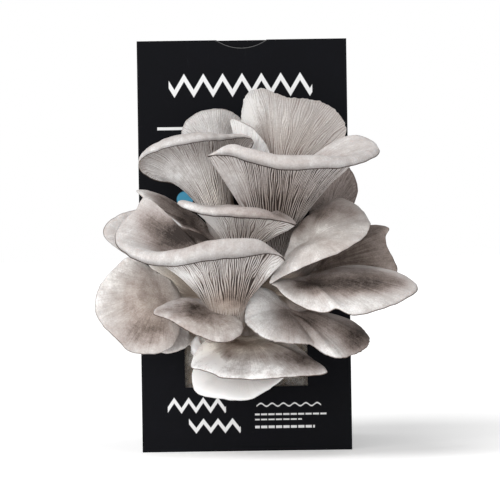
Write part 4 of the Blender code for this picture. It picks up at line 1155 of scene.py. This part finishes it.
def floor_material(stage):
    """Pale paper with a faint, wide cloudiness, which gives off a little light."""
    g = Graph("studio_floor")
    soft = g.noise(g.place(), 3.0, detail=1.0, roughness=0.5)
    colour = g.mix(soft * 0.02, stage.paper, (0.88, 0.88, 0.88))
    return g.surface(Base_Color=colour, Roughness=0.85, Emission_Color=(1.0, 1.0, 1.0, 1.0),
                     Emission_Strength=stage.glow)


# Operators

class GrowKitOperator(bpy.types.Operator):
    """What the operators have in common: each can be undone."""
    bl_options = {"REGISTER", "UNDO"}


def repaint(node, material):
    """Puts one material into every slot of a solid."""
    for place in range(len(node.material_slots)):
        node.material_slots[place].material = material


class GROWKIT_OT_carton(GrowKitOperator):
    """Gives the carton and the lid their print, and the dust flaps bare board."""
    bl_idname = "growkit.carton"
    bl_label = "Carton and flaps"

    def execute(self, context):
        carton = context.scene.growkit_carton
        ink = print_material("carton_print", carton)
        bare = board_material("bare_board", carton)
        paints = {"carton": ink, "lid": ink, "dust_flap_left": bare, "dust_flap_right": bare}
        for name, material in paints.items():
            repaint(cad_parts[name], material)
        return {"FINISHED"}


class GROWKIT_OT_block(GrowKitOperator):
    """Makes the rough block of substrate and the creased film bag round it."""
    bl_idname = "growkit.block"
    bl_label = "Block and bag"

    seed: IntProperty(name="Seed", description="Draws the lumps and the creases", default=11)

    def execute(self, context):
        block = context.scene.growkit_block
        draws = np.random.default_rng(self.seed)
        mesh = rough_block(*box_corners("substrate_block"), draws)
        add_piece("substrate_block_rough", mesh, substrate_material(block),
                  replaces=("substrate_block",))
        mesh = creased_bag(*box_corners("grow_bag"), draws)
        add_piece("grow_bag_film", mesh, film_material(block), replaces=("grow_bag",))
        return {"FINISHED"}


class GROWKIT_OT_knot(GrowKitOperator):
    """Makes the knot of stems grown together in the slit: an egg with upright ribs and lumps."""
    bl_idname = "growkit.knot"
    bl_label = "Knot of stems"

    seed: IntProperty(name="Seed", description="Draws the ribs and the lumps", default=5)

    def execute(self, context):
        mesh = ribbed_knot(*box_corners("cluster_base"), np.random.default_rng(self.seed))
        add_piece("cluster_base_ribbed", mesh, knot_material(context.scene.growkit_flesh),
                  replaces=("cluster_base",))
        return {"FINISHED"}


class GROWKIT_OT_mushrooms(GrowKitOperator):
    """Makes every mushroom of the cluster with its gills, margin and stem."""
    bl_idname = "growkit.mushrooms"
    bl_label = "Mushrooms"

    seed: IntProperty(name="Seed", description="Draws the waves of the rims and the gills", default=3)

    def execute(self, context):
        flesh = context.scene.growkit_flesh
        for number, name in enumerate(FORMS):
            form, look = {**USUAL_FORM, **FORMS[name]}, {**USUAL_LOOK, **LOOKS[name]}
            draws = np.random.default_rng(self.seed * 100 + number)
            gills = max(round(rim_length(form) / (flesh.gill_spacing / MM)), FEWEST_GILLS)
            grid, foot, heart, zones, sway, edge = mushroom_grid(form, look, gills, flesh.gill_depth / MM,
                                                                 draws)
            mesh = closed_mesh(name + "_fine", grid, foot, heart, zones, sway=sway, edge=edge,
                               # The spots' layer holds real stains and also painted shade and painted
                               # highlights
                               stain=summed_spots(grid, look["spots"]), calm=summed_spots(grid, look["calm"]),
                               tan=summed_spots(grid, look["tan"]))
            material = flesh_material(name + "_flesh", flesh, look, gills)
            add_piece(name + "_fine", mesh, material, replaces=(name,))
        return {"FINISHED"}


class GROWKIT_OT_stage(GrowKitOperator):
    """Sets the pale floor, the soft lights and the camera at the photograph's view."""
    bl_idname = "growkit.stage"
    bl_label = "Stage"

    def execute(self, context):
        scene = context.scene
        stage = scene.growkit_stage
        self.add_floor(scene, stage)
        for name, angle, heading in SUNS:
            light = bpy.data.lights.new(name, "SUN")
            light.energy = getattr(stage, name)
            light.angle = math.radians(angle)
            holder = bpy.data.objects.new(name, light)
            holder.rotation_euler = Vector(heading).to_track_quat("-Z", "Y").to_euler()
            scene.collection.objects.link(holder)
        self.add_world(scene, stage)
        self.add_camera(scene)
        scene.view_settings.view_transform = "Standard"
        return {"FINISHED"}

    def add_floor(self, scene, stage):
        """A flat floor of four squares at height 0."""
        side = np.linspace(-FLOOR_HALF, FLOOR_HALF, 3)
        x, y = np.meshgrid(side, side)
        points = np.stack((x, y, np.zeros_like(x)), axis=-1).reshape(-1, 3)
        index = np.arange(9).reshape(3, 3)
        faces = np.stack((index[:-1, :-1], index[:-1, 1:], index[1:, 1:], index[1:, :-1]), axis=-1)
        mesh = bpy.data.meshes.new("studio_floor")
        mesh.from_pydata(points.tolist(), [], faces.reshape(-1, 4).tolist())
        floor = bpy.data.objects.new("studio_floor", mesh)
        scene.collection.objects.link(floor)
        mesh.materials.append(floor_material(stage))

    def add_world(self, scene, stage):
        """Even white light from all round, which the camera itself sees at full strength."""
        world = bpy.data.worlds.new("studio")
        world.use_nodes = True
        scene.world = world
        tree = world.node_tree
        background = tree.nodes["Background"]
        background.inputs["Color"].default_value = (1, 1, 1, 1)
        seen = tree.nodes.new("ShaderNodeLightPath")
        share = tree.nodes.new("ShaderNodeMapRange")
        share.inputs["To Min"].default_value = stage.fill
        share.inputs["To Max"].default_value = 1.0
        tree.links.new(seen.outputs["Is Camera Ray"], share.inputs["Value"])
        tree.links.new(share.outputs[0], background.inputs["Strength"])

    def add_camera(self, scene):
        """The eye that the places are sighted from, square to the front, with the photograph's frame."""
        camera = bpy.data.cameras.new("camera")
        camera.sensor_width = SENSOR_WIDTH
        camera.lens = SENSOR_WIDTH * EYE_DISTANCE / (PHOTO_PIXELS * PIXEL_SIZE)
        holder = bpy.data.objects.new("camera", camera)
        holder.location = (EYE_X * MM, (FRONT - EYE_DISTANCE) * MM, EYE_Z * MM)
        holder.rotation_euler = (math.radians(90), math.radians(PHOTO_ROLL), 0)
        scene.collection.objects.link(holder)
        scene.camera = holder


class GROWKIT_PT_panel(bpy.types.Panel):
    """Lists the operators and, under them, the properties of every group."""
    bl_label = "Grow kit"
    bl_idname = "GROWKIT_PT_panel"
    bl_space_type = "VIEW_3D"
    bl_region_type = "UI"
    bl_category = "Grow kit"

    def draw(self, context):
        for operator in OPERATORS:
            self.layout.operator(operator.bl_idname)
        for group in GROUPS:
            holder = getattr(context.scene, group)
            box = self.layout.box()
            for key in holder.__annotations__:
                box.prop(holder, key)


OPERATORS = (GROWKIT_OT_carton, GROWKIT_OT_block, GROWKIT_OT_knot, GROWKIT_OT_mushrooms, GROWKIT_OT_stage)
GROUPS = {
    "growkit_carton": GROWKIT_PG_carton,
    "growkit_block": GROWKIT_PG_block,
    "growkit_flesh": GROWKIT_PG_flesh,
    "growkit_stage": GROWKIT_PG_stage,
}


def register():
    """Makes the classes known, and gives each scene the groups of properties."""
    for group in GROUPS.values():
        bpy.utils.register_class(group)
    for operator in OPERATORS:
        bpy.utils.register_class(operator)
    bpy.utils.register_class(GROWKIT_PT_panel)
    for name, group in GROUPS.items():
        setattr(bpy.types.Scene, name, PointerProperty(type=group))


def unregister():
    """Takes back what register did."""
    for name in GROUPS:
        delattr(bpy.types.Scene, name)
    bpy.utils.unregister_class(GROWKIT_PT_panel)
    for thing in (*OPERATORS, *GROUPS.values()):
        bpy.utils.unregister_class(thing)


def main():
    register()
    bpy.ops.growkit.carton()
    bpy.ops.growkit.block()
    bpy.ops.growkit.knot()
    bpy.ops.growkit.mushrooms()
    bpy.ops.growkit.stage()
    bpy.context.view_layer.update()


if __name__ == "__main__":
    main()
